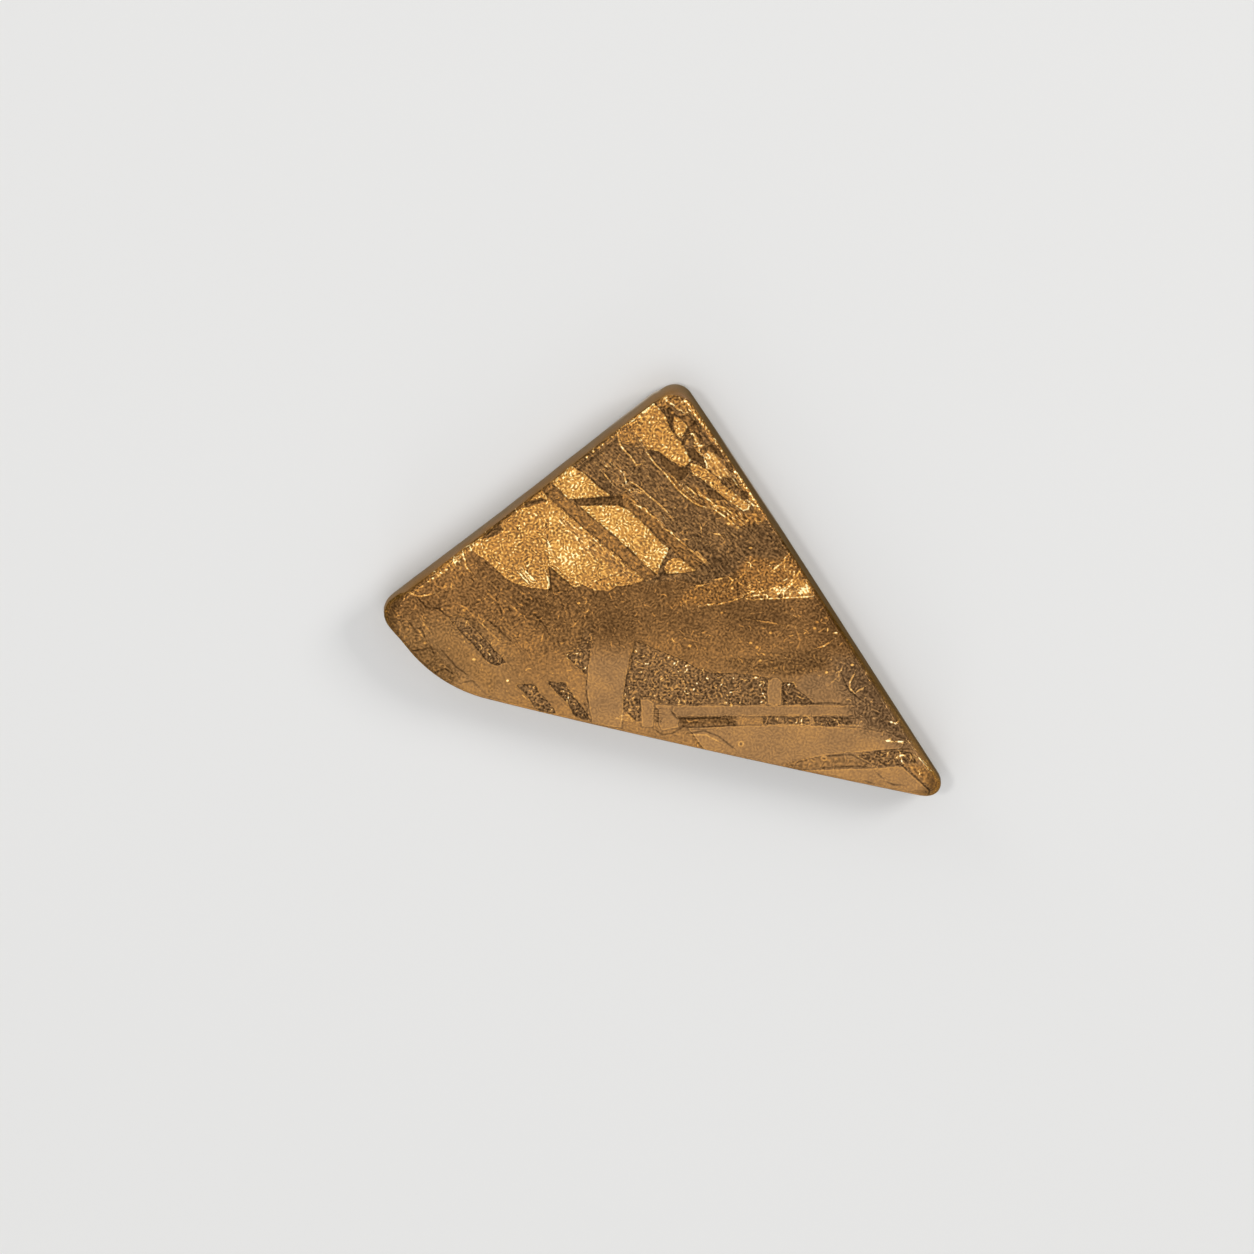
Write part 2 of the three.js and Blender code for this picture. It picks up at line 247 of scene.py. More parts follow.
# The fields in the order they are laid: the kind, the outline, and for some a change of its tone.
FIELDS = [
    ("zone", [(-7.4, 6.9), (-9, 9), (0, 16), (4, 12), (9.4, 2.6), (7.8, 2.6), (6.5, 2.4), (5, 2.3),
              (4.7, 1.9), (4.3, 1.4), (3.5, 1.1), (2.8, 0.8), (2.2, 0.9), (1, 1.2), (-1, 0.9), (-4, 3.4)]),
    ("gold", [(-12.2, 3.3), (-11.2, 4.2), (-10.3, 4.8), (-9, 5.8), (-7.6, 7.05), (-7.1, 6.5), (-6, 5.5),
              (-5, 4.6), (-4, 3.75), (-3, 2.85), (-2, 1.95), (-1.1, 1.1), (-2, 0.8), (-2.8, 0.75),
              (-3.4, 0.4), (-4.3, 0.45), (-5, 0.8), (-5.5, 0.6), (-7.05, 0.5), (-7.8, 0.55), (-8.9, 0.8),
              (-9.5, 1), (-10.2, 1.6), (-11, 2.4), (-11.8, 3)]),
    ("pale gold", [(-7, 6.2), (-6.4, 5.8), (-5, 4.5), (-3, 2.7), (-2.2, 1.9), (-3, 1.5), (-4.3, 1),
                   (-5.4, 0.9), (-7.1, 2.3), (-7.2, 3.6), (-7.1, 4.8)], -0.05),
    ("mottled", [(-6.6, 5.5), (-5, 4.5), (-4, 3.6), (-3, 2.6), (-3.9, 2.6), (-4.8, 2.7), (-5.6, 3.9),
                 (-6.4, 4.9)]),
    ("mottled", [(-3.9, 2.7), (-3, 2.7), (-2, 1.85), (-1.3, 1.1), (-2, 1), (-3, 1.7)], -0.04),
    ("bits", [(-14.7, 1.2), (-14.9, 1.8), (-12.2, 3.95), (-11.9, 3), (-12.6, 2.35), (-13.3, 1.75),
              (-14, 1.3)], -0.03),
    ("patch", [(-11.3, 3.8), (-11.1, 4.6), (-10.3, 5.1), (-9.95, 4.4), (-10.5, 3.95)], 0.03),
    ("patch", [(-9.1, 5.75), (-8.4, 6.35), (-7.5, 6.5), (-7.2, 6.3), (-7.9, 6.12), (-8.6, 5.85)], 0.1),
    ("band", [(-7.1, 2.05), (-5.55, 0.58), (-5.5, 0.4), (-7.05, 0.3)], -0.05),
    ("band", [(-7.6, 7.2), (-7.1, 6.5), (-6, 5.5), (-5, 4.6), (-4, 3.75), (-3, 2.85), (-2, 1.95),
              (-1.1, 1.1), (-0.3, 1.4), (-1, 2.05), (-2, 3.05), (-3, 4), (-5, 5.75), (-6, 6.5),
              (-6.95, 7.5), (-7.2, 7.8)], 0.03),
    ("pale gold", [(-6.95, 7.6), (-5.9, 8.75), (-5, 8.2), (-4, 7.2), (-3.2, 6.65), (-4.5, 6.5),
                   (-5.9, 6.4), (-6.2, 6.7)]),
    ("band", [(-5.75, 6.42), (-4.5, 6.48), (-3.2, 6.6), (-2.6, 6.7), (-2.3, 6.85), (-1, 5.8), (0, 4.75),
              (1, 3.85), (1.9, 2.95), (2.6, 2.3), (2.05, 1.75), (1, 2.65), (0, 3.6), (-1, 4.6),
              (-2.4, 5.9), (-4, 6.05), (-5.15, 5.95)]),
    ("dark", [(-5.75, 6.42), (-4.5, 6.48), (-3.2, 6.6), (-2.5, 6.6), (-2.4, 5.6), (-2.6, 5.6), (-2.75, 6),
              (-4, 6.05), (-5.15, 5.95)]),
    ("pale gold", [(-5.15, 5.95), (-4, 6.05), (-2.8, 6), (-2.2, 5.8), (-1, 4.6), (-0.2, 3.7), (0.4, 3.15),
                   (0.1, 2.4), (-0.2, 1.9), (-0.35, 1.45), (-1, 2.05), (-2, 3.05), (-3, 4), (-4, 4.9)]),
    ("gold", [(0.3, 2.4), (1, 2.6), (2.05, 1.75), (1.3, 1.6), (0.3, 1.5), (0.1, 1.85)]),
    ("gold", [(-2.8, 11.1), (-0.55, 12.75), (-0.2, 12.4), (0.05, 12), (0.3, 11.7), (0.45, 11.1),
              (0.75, 10.75), (1.15, 10.2), (1.5, 9.5), (1.75, 9), (1.6, 8.75), (1.4, 8.55), (1.1, 8.55),
              (0.5, 8.95), (0.1, 9.3), (-0.3, 9.55), (-0.95, 9.65), (-1.3, 10.1), (-1.5, 10.5), (-1.9, 11),
              (-2.3, 11.2)]),
    ("bits", [(-2.75, 11.05), (-2.7, 10.5), (-2.55, 10), (-2, 9.9), (-1.4, 10.05), (-1.6, 10.6),
              (-2, 11.3)], 0.02),
    ("bits", [(-0.5, 12.8), (0.1, 13.3), (0.5, 13.6), (1.2, 13.3), (1.3, 12.85), (1.6, 12.05),
              (1.3, 12.05), (0.9, 12.3), (0.5, 12.6), (0.1, 12.2), (-0.2, 12.5)]),
    ("band", [(1, 11.95), (1.6, 11.9), (2.1, 11.5), (2.3, 11), (2.35, 10.6), (2.55, 10.15), (2.3, 10.25),
              (2.05, 10.7), (1.6, 10.95), (1.4, 11.4)], -0.06),
    ("patch", [(0.3, 12.35), (0.5, 12.5), (0.7, 12.1), (0.95, 11.9), (0.65, 11.6), (0.6, 11),
               (0.85, 10.65), (1.1, 10.35), (1, 10.25), (0.7, 10.75), (0.45, 11.1), (0.35, 11.7)]),
    ("patch", [(1.5, 11), (1.75, 10.85), (1.7, 10.5), (1.45, 10.25), (1.35, 9.95), (1.15, 9.95),
               (1.3, 10.4)]),
    ("patch", [(1.5, 9.75), (1.95, 9.75), (2.2, 9.45), (2.5, 9.3), (2.6, 8.9), (2.75, 8.5), (2.3, 8.75),
               (1.85, 9), (1.6, 9.35)]),
    ("gold", [(0.7, 11.85), (0.95, 11.85), (1.55, 11.15), (1.4, 10.8), (1.15, 10.3), (0.9, 10.65),
              (0.65, 11.2)]),
    ("bits", [(1.7, 10.8), (1.95, 10.8), (2.15, 10.4), (2.3, 10.2), (2.6, 10.1), (2.65, 9.6), (2.45, 9.2),
              (2.3, 9.35), (2, 9.65), (1.9, 9.95), (1.95, 10.3)]),
    ("bits", [(1.4, 13.15), (2, 12.6), (2.6, 11.9), (3.3, 10.9), (4.5, 9.2), (4.15, 8.85), (3.95, 9.3),
              (3.4, 9.95), (3, 10.15), (2.5, 11), (2.2, 11.7), (1.75, 12.1), (1.35, 12.85)]),
    ("patch", [(2.75, 9.85), (3, 10.05), (3.35, 9.95), (3.6, 9.6), (3.95, 9.25), (3.95, 9.05), (3.65, 9.1),
               (3.3, 9.45), (2.85, 9.55)]),
    ("mottled", [(2.6, 9.45), (2.9, 9.6), (3.15, 9.4), (3.5, 9.1), (3.7, 8.8), (3.95, 8.4), (4.3, 8.1),
                 (4.2, 7.85), (3.9, 7.9), (3.6, 7.72), (3.1, 8.15), (2.72, 8.5), (2.65, 8.95)], 0.07),
    ("patch", [(3.9, 8.9), (4.3, 8.75), (4.5, 8.3), (4.3, 8.15), (3.95, 8.5)]),
    ("bits", [(4.5, 8.3), (4.75, 8.2), (5.1, 7.75), (5.6, 7.1), (6.1, 6.3), (6.55, 5.3), (6.3, 4.9),
              (5.8, 5.2), (5.7, 5.8), (5.5, 6.2), (5.25, 6.7), (5, 7.1), (4.75, 7.6)]),
    ("band", [(3.85, 7.85), (4.4, 7.75), (4.6, 7.3), (4.95, 7), (4.7, 6.9), (4.25, 7.25)], -0.03),
    ("patch", [(4.85, 6.95), (5.3, 6.95), (5.4, 6.5), (5.15, 6.35), (4.9, 6.55)]),
    ("patch", [(-0.15, 9.35), (0.1, 9.2), (0.5, 8.85), (1.1, 8.45), (1.6, 8.5), (1.6, 8.1), (1.25, 7.75),
               (0.9, 7.6), (0.5, 8.1), (-0.1, 8.7)], 0.02),
    ("gold", [(1.7, 8.5), (1.75, 8.75), (2.1, 8.75), (2.5, 8.5), (3, 8.15), (3.5, 7.7), (4.1, 7.1),
              (4.6, 6.72), (4.95, 6.4), (5.3, 6.2), (5.5, 5.95), (5.4, 5.75), (5.05, 5.65), (4.7, 5.85),
              (4.2, 6.2), (3.8, 6.55), (3.3, 7), (2.9, 7.3), (2.4, 7.75), (2, 7.95), (1.8, 8.2)]),
    ("dull gold", [(0.1, 8.15), (0.6, 7.85), (1.3, 7.05), (2.1, 6.4), (2.6, 5.95), (2.3, 5.85),
                   (1.8, 6.25), (1.3, 6.65), (0.8, 7.2), (0.4, 7.7)], 0.03),
    ("streaked", [(1.6, 7.15), (2.1, 7.2), (3.2, 6.4), (4.2, 6), (4.9, 5.6), (5.7, 5.6), (6.4, 5.3),
                  (6.2, 4.9), (5.2, 4.6), (4.4, 4.6), (3.7, 5.1), (3, 5.7), (2.5, 6.3)]),
    ("patch", [(2.7, 7), (3.1, 7.05), (3.6, 6.7), (3.9, 6.4), (3.5, 6.35), (3, 6.5)], 0.06),
    ("dull gold", [(0.1, -0.55), (1.8, -0.6), (2.7, -0.55), (3.4, -0.45), (4.1, -0.3), (4.8, -0.1),
                   (5.6, -0.16), (6.6, -0.12), (8.1, -0.05), (9.6, 0), (9.2, 0.8), (8.9, 1.3), (8.4, 2.1),
                   (8.2, 2.9), (7.7, 2.7), (7.1, 2.4), (6.3, 2.5), (5.5, 2.7), (5, 2.1), (4.4, 1.4),
                   (3.6, 1.15), (2.8, 0.85), (2.2, 0.7), (1.4, 0.1)]),
    ("bits", [(6.3, -0.1), (6.9, -0.05), (8.1, 0.02), (9.45, 0.05), (9.1, 1.2), (8.75, 1.1), (8.4, 0.75),
              (7.7, 0.75), (7, 0.7), (6.6, 0.3)]),
    ("olive faint", [(-16.6, -1.6), (-15.6, -1.9), (-14.9, -2.6), (-14.2, -3.3), (-13.6, -4.2),
                     (-12.6, -5.2), (-13.4, -5.9), (-14.6, -4.9), (-15.8, -3.4)]),
    ("olive rod", [(-14.6, -1.9), (-13.2, -2), (-12.7, -2.7), (-11.5, -4), (-10.2, -5.2), (-10.6, -6.4),
                   (-12, -5.3), (-13.2, -4.2), (-14.2, -3)]),
    ("speckled", [(-13.4, -1.35), (-12.3, -1.3), (-11.9, -1.9), (-11.3, -2.5), (-10.8, -3.1),
                  (-10.1, -3.9), (-9.8, -4.3), (-10.3, -4.5), (-10.9, -4.3), (-11.5, -3.6), (-12, -3),
                  (-12.7, -2.3), (-13, -1.8)], -0.05),
    ("faint", [(-8, -1.2), (-6.5, -0.7), (-5, -1), (-4.3, -1.5), (-4.45, -2.5), (-4.6, -3.6),
               (-4.65, -4.6), (-4.8, -5.05), (-5.2, -4.7), (-6, -3.95), (-7, -2.9), (-7.6, -1.9)]),
    ("speckled", [(-5, -1.4), (-4.4, -1.5), (-4.35, -2.5), (-4.6, -3.6), (-4.65, -4.6), (-4.8, -5.05),
                  (-5.2, -4.7), (-6, -3.95), (-5.6, -3.6), (-5.1, -3)]),
    ("speckled", [(-9.1, -5.8), (-8.1, -5.7), (-7.6, -6.4), (-7, -7.1), (-6.6, -7.7), (-7.7, -7.5),
                  (-8.1, -7.1), (-8.4, -6.6)]),
    ("speckled", [(-7.2, -5.6), (-6.1, -5.6), (-5.6, -6.5), (-5.2, -7), (-4.8, -7.6), (-4.5, -8.1),
                  (-5.4, -7.9), (-6, -6.9), (-6.6, -6.3)], -0.05),
    ("rod", [(-4.4, -0.8), (-1.9, -1), (-2.1, -4.2), (-2.3, -5.5), (-2.45, -7.2), (-2.6, -8.6),
             (-4.4, -8.3), (-4.75, -6), (-4.65, -4.6), (-4.35, -2.6)]),
    ("speckled", [(-1.7, -2.9), (-1, -3.1), (-0.2, -3.5), (1, -4), (2, -4.6), (3, -5), (4.5, -5),
                  (5.5, -5.1), (6.6, -5.3), (6.5, -6), (6.45, -7.05), (5, -7.1), (1, -7.05), (0, -7),
                  (-0.8, -6.6), (-1.35, -6.65), (-1.4, -8.15), (-1.6, -8.2), (-2.1, -7.7), (-2.45, -7.3),
                  (-2.4, -6.3), (-2.3, -5.3), (-2, -4.7), (-1.9, -3.7)], 0.02),
    ("rod", [(-1.35, -6.75), (-0.9, -6.65), (-0.55, -7), (-0.6, -8.5), (-1.3, -8.5)]),
    ("rod", [(-0.5, -7.1), (0.7, -7.1), (0.7, -7.5), (1, -8), (1, -8.6), (-0.1, -8.8), (-0.3, -8.2),
             (-0.2, -7.4)]),
    ("faint", [(3.5, -4.2), (5.5, -4), (7.5, -3.6), (9.5, -3.5), (10.8, -3.9), (10.5, -4.6), (9, -5.1),
               (7.6, -5.2), (6.8, -5), (5, -4.9)], -0.01),
    ("rod", [(6.55, -7.1), (6.6, -5.6), (6.85, -5.3), (7.2, -5.3), (7.45, -5.6), (7.45, -7.1)]),
    ("speckled", [(7.5, -5.6), (8.2, -5.6), (8.35, -6), (9, -6.5), (9.4, -7), (8.5, -7.05),
                  (7.5, -7.1)], -0.05),
    ("haze", [(8.4, -5.9), (9, -5.2), (10.8, -5.3), (11.5, -6), (12, -6.6), (11, -6.9), (9.4, -6.9)]),
    ("rod", [(0.7, -7.15), (12, -7.1), (12, -7.8), (1, -7.85), (0.6, -7.5)], -0.04),
    ("faint", [(1, -7.9), (4.5, -7.85), (4.6, -8.4), (1.2, -8.45)], -0.06),
    ("speckled", [(6.3, -7.85), (9.2, -7.85), (9.2, -8.35), (6.3, -8.35)], 0.03),
    ("speckled", [(9.35, -7.85), (12.4, -7.95), (12.2, -8.4), (11, -8.35), (10.8, -8.55),
                  (9.6, -8.4)], -0.04),
    ("faint", [(1.9, -9.15), (2.6, -8.95), (3.4, -9.25), (4.2, -9.9), (4.6, -10.6), (3.2, -10.6),
               (2.1, -9.8)], 0.04),
    ("rod", [(1.6, -8.6), (4, -8.5), (8, -8.4), (12, -8.6), (14, -8.9), (15.2, -9.4), (14.9, -9.95),
             (12, -10.2), (10.2, -10.4), (8.5, -10.8), (7, -11.5), (3, -10.5)]),
    ("trace", [(7.5, -10.9), (9, -10.6), (11, -10.5), (12.6, -10.8), (13, -11.15), (10, -11.3),
               (7.6, -11.3)]),
    ("speckled", [(12.3, -10.45), (13.5, -10.2), (15, -10.1), (15.5, -10.2), (15.9, -10.9), (15, -11.05),
                  (13.4, -11.15), (12.9, -10.85)]),
    ("grey", [(10.8, -4.2), (12.4, -4), (14.3, -7.4), (15.6, -9.6), (14.2, -9.2), (12.6, -8.8),
              (11.9, -7.9), (11.6, -6.6), (10.9, -5.3)]),
    ("rod", [(8.5, -11.4), (13.4, -11.25), (15, -11.15), (16.7, -12.8), (16.4, -13.6),
             (10, -12.2)], 0.025),
    ("faint", [(15.1, -11), (16.6, -11), (17.6, -11.6), (18.2, -12.6), (17.2, -13.4),
               (16.9, -12.8)], 0.13),
]

# Painted highlights and painted shade: spots where a crystal field is painted as throwing back more light
# than the rest of its kind, or less. x, y, radius and change of tone.
PAINTED_LIGHT_SPOTS = [
    (-6, 2.7, 1, 0.1), (-3, 5.2, 1.2, 0.02), (0.1, 2.9, 0.5, 0.07), (-1, 3.4, 0.7, -0.06),
    (-8.8, 2.3, 1.3, -0.06), (-3.6, 1.4, 1, -0.05), (-3.9, 7, 0.5, -0.08), (-6.4, 7.6, 0.5, -0.04),
    (-1.3, 11.4, 1.2, -0.03), (0.7, 9.6, 0.6, 0.05), (3.2, 7.5, 0.6, -0.07), (-7.9, -6.6, 0.5, 0.05),
    (0.4, 4.2, 0.7, -0.05), (-3.2, 4, 0.9, 0.03), (-3.4, 9, 1.6, 0.03), (-1.2, 7.6, 1.2, 0.01),
    (5.8, 3.8, 1.2, -0.05), (3.6, 1.8, 1.2, -0.06), (8.95, 0.55, 0.36, 0.42), (8.6, 0.3, 0.25, 0.2),
    (7.15, 0.45, 0.26, 0.4), (7.55, 0.4, 0.15, 0.3), (8, 0.15, 0.2, 0.15), (-13, -0.6, 1.8, 0.02),
    (-9.6, -2.8, 1.3, 0.06), (-12.6, 2, 1.2, 0.1), (9.6, -3.6, 1.9, -0.06), (13.3, -5.6, 0.6, -0.03),
    (12.2, -8.3, 0.4, 0.12), (-7, 5, 0.25, 0.12), (-7.1, 3.2, 0.25, 0.12), (-14.2, -4.3, 1.6, -0.05),
    (-3, -0.4, 1.4, -0.03), (-8.5, -0.7, 1, -0.04), (6, -1.4, 1.6, -0.05), (11.2, -9.2, 1, -0.03),
    (-8.6, -5.2, 1.5, -0.04), (-11.6, -2.6, 1, -0.04), (-3.2, -2.6, 1.5, -0.09), (-6.9, -6.4, 0.8, -0.04),
    (-0.1, 1.5, 0.3, -0.1), (-9.8, 5.3, 0.7, -0.09), (-1.8, 11.9, 0.6, -0.08), (-6.3, 1, 0.4, 0.05),
    (8.9, 0.5, 0.5, -0.05), (1.95, 11.35, 0.18, -0.2), (2.83, 9.22, 0.12, 0.3), (1.2, 8, 0.4, -0.06),
    (1.55, 10.1, 0.15, 0.2),
]

# FAR stands for no border near. A step in depth is a little steeper than the border of the colours, and a
# border that lies under a soft field is gone from BORDER_FADE inside it.
FAR = 9.0
GRAIN_TURN = np.radians(43)
LEDGE_SHARE = 0.8
BORDER_FADE = 0.25


def crease(x):
    """Height of the soft line under the bright fields, below which the face is smoother and paler."""
    places = (-17.5, -13, -9, -5, -1, 0.5, 3, 5, 9.4, 12)
    heights = (0.8, 1.2, 0.2, 0.2, 0, -0.6, -0.6, -0.15, 0, -1)
    return np.interp(x, places, heights)


def painted(x, y):
    """Lays the fields over each other in order: inside a field's outline each value moves to the field's
    own, over a soft border. Adds the signed distance to the nearest crisp border, in millimetres, which is
    positive inside the fields that stand up."""
    # The ground under the fields changes with how far it lies below the crease, and from left to right.
    below = crease(x) - y
    lower = smooth(2.5, 7, below)
    left = smooth(-3, -6, x)
    values = {
        "tone": np.interp(below, (0, 1.5, 4, 7, 11), (0.455, 0.465, 0.55, 0.60, 0.62)),
        "spread": 0.32 - 0.16 * smooth(1.5, 6, below) + 0.13 * left * smooth(5.5, 3, below),
        "hue": 0.3 - 0.3 * lower - 0.8 * smooth(-8, -12, x) * smooth(1.5, 4, below),
        "pale": 0.25 + (0.35 + 0.5 * smooth(6, 11, x) - 0.2 * smooth(-4, -9, x)) * lower,
        "coarse": 0.4 - 0.2 * lower,
        "streak": 0.2 + 0.3 * left,
        "painted_glints": 0.42 - 0.22 * lower + 0.2 * smooth(7, 9.5, x) * smooth(-8, -4, y),
        "depth": np.zeros(x.shape),
    }
    # No border is quite straight: each wanders by up to 0.07 mm.
    wander = 0.08 * (lumps(x, y, 0.35, 21) - 0.5) + 0.06 * (lumps(x, y, 0.17, 22) - 0.5)
    border_gap = np.full(x.shape, FAR)
    for name, outline, *shift in FIELDS:
        look = dict(zip(LOOK_PARTS, LOOKS[name]))
        look["tone"] += sum(shift)
        soft = look["soft"]
        gap = distance(x, y, outline) + wander
        shown = smooth(1.2, 4.6, below) if name in LOWER else np.ones(x.shape)
        if name == "rod":
            shown = shown * smooth(2.2, 5.6, below)
        cover = smooth(-soft, soft, gap) * shown
        ledge = smooth(-LEDGE_SHARE * soft, LEDGE_SHARE * soft, gap)
        for key, value in values.items():
            part = ledge if key == "depth" else cover
            values[key] = value + part * (look[key] - value)
        if name in CRISP:
            signed = (-gap if look["depth"] else gap) / np.maximum(shown, 0.05)
            nearer = (gap > 0) | (np.abs(gap) < np.abs(border_gap))
            border_gap = np.where(nearer, signed, border_gap)
        else:
            border_gap = np.where(gap > BORDER_FADE, FAR, border_gap)
    # Painted highlights and painted shade on the crystal fields.
    for light_spot_x, light_spot_y, radius, change in PAINTED_LIGHT_SPOTS:
        away = (x - light_spot_x) ** 2 + (y - light_spot_y) ** 2
        values["tone"] = values["tone"] + change * np.exp(-away / radius ** 2)
    # Thin streaks of lighter and darker metal run along the grain, and a darker strip along the right side.
    row = x * np.sin(GRAIN_TURN) + y * np.cos(GRAIN_TURN)
    values["tone"] += 0.10 * (lumps(row, x * 0.1, 0.42, 31) - 0.5) * values["streak"]
    strip = smooth(1.1, 0.3, distance(x, y, face_line[::8])) * smooth(8, 10, x) * smooth(0, -1, y)
    values["tone"] -= 0.05 * strip * smooth(-11, -9.5, y)
    values["border"] = border_gap
    return values


# Narrow ridges of nickel-rich iron that stand proud along the bands and catch the light.
RIDGES = [
    [(-1.9, 7.5), (-1.4, 7.15), (-1, 6.75), (-0.3, 6.15), (0.25, 5.6)],
    [(-1.5, 5.95), (-1.1, 5.78), (-0.9, 5.5), (-0.4, 5.15)],
    [(-2.72, 11.05), (-2.8, 10.8), (-2.75, 10.3), (-2.6, 9.9), (-2.3, 9.5), (-2, 9.2),
     (-1.65, 8.65), (-1.4, 8.7)], [(-0.9, 9.35), (-0.7, 9.05), (-0.5, 8.75), (-0.1, 8.35)],
    [(-3.6, 8), (-3.4, 7.75)], [(-2.85, 8.45), (-2.6, 8.25)], [(-2.35, 7.8), (-2.3, 7.6)],
    [(-2.25, 7.1), (-2.05, 7)], [(-1.5, 6.85), (-1.35, 6.8)], [(0.2, 4.45), (0.55, 4.2), (0.65, 4.1)],
    [(0.95, 3.8), (1.4, 3.4)], [(1.6, 3.2), (2.1, 2.75), (2.6, 2.3)], [(2.15, 2.95), (2.7, 2.4)],
    [(1.75, 10.7), (1.88, 10.72), (2, 10.5), (2.12, 10.2), (2.25, 9.9), (2.28, 9.68)],
    [(-7.2, 1.3), (-7.1, 0.95), (-7.15, 0.6)], [(-7.15, 3.6), (-7.05, 3.3)], [(2.85, -0.5), (3.1, -0.46)],
    [(3.5, -0.46), (3.85, -0.38)], [(4.1, -0.3), (4.25, -0.27)], [(4.5, -0.2), (4.75, -0.1)],
    [(5.3, -0.1), (5.5, -0.16)], [(5.9, -0.14), (6.2, -0.12)], [(6.65, -0.1), (7.2, -0.08)],
    [(7.55, -0.06), (8, -0.03)], [(8.4, -0.01), (9.1, 0.03)], [(5.3, 0.25), (5.8, 0.4)],
    [(6, 0.3), (6.4, 0.45)], [(7.65, 0.6), (8, 0.75), (8.35, 1.1)], [(8, 1), (8.3, 1.3), (8.55, 1.7)],
    [(2.15, 0.72), (2.6, 0.82)], [(3.35, 1.15), (3.7, 1.22)], [(4.2, 1.25), (4.4, 1.1), (4.3, 0.9)],
    [(4.85, 1.3), (5.1, 1.55)], [(6.9, 1.8), (7.2, 2.05)], [(7.65, 2.6), (7.9, 2.8)],
    [(0.15, 8.1), (0.5, 7.65), (0.9, 7.1), (1.4, 6.62), (1.8, 6.3)], [(2, 6.15), (2.5, 5.95)],
    [(1.62, 7.15), (1.95, 6.85), (2.1, 6.7)], [(2.3, 6.85), (2.7, 6.5), (3.1, 6.2)],
    [(3.4, 6), (3.9, 5.85)], [(3.25, 5.75), (3.6, 5.5), (4, 5.2), (4.35, 4.9)], [(4.2, 5.6), (4.6, 5.35)],
    [(5, 5.65), (5.3, 5.75), (5.4, 5.95)], [(4.5, 8.25), (4.65, 8.2), (4.85, 7.8)],
    [(4.4, 7.7), (4.65, 7.35)], [(5.35, 6.3), (5.65, 6.05), (5.95, 5.95)], [(2.62, 9), (2.75, 8.55)],
    [(3.1, 8.2), (3.4, 8), (3.65, 7.75)], [(-0.1, 13.15), (0.2, 12.9), (0.6, 12.65)],
    [(0.15, 13.3), (0.25, 13.1)], [(0.8, 12.45), (1.15, 12.22)],
    [(-12.5, 2.9), (-12.35, 2.4), (-12.3, 2), (-12.05, 1.7)],
    [(11.95, -5.1), (11.7, -5.6), (11.7, -6), (11.9, -6.2)], [(12.2, -6.2), (12.5, -6)],
    [(14.3, -8.22), (14.6, -8.3), (14.9, -8.15)], [(14.05, -9.45), (14.35, -9.5)],
    [(14.65, -9.5), (14.95, -9.5)], [(14.75, -10.45), (15.1, -10.4), (15.3, -10.6)],
    [(16, -10.55), (16.15, -10.65)], [(16.5, -11.05), (16.75, -11.3)],
    [(-15.7, 0.2), (-15.2, 0.05), (-14.5, 0.2)], [(-13.1, 2.5), (-12.95, 2.2)],
    [(6.2, -1.6), (6.6, -1.65), (7.1, -1.75)], [(9.8, -3.3), (10.1, -3.2), (10.4, -3)],
    [(-8.9, 1.5), (-8.4, 0.95)], [(-8.6, 1.7), (-8.1, 1.2)], [(2.35, 4.65), (2.4, 4.4)],
    [(3.3, 4.15), (3.6, 4.05)],
]
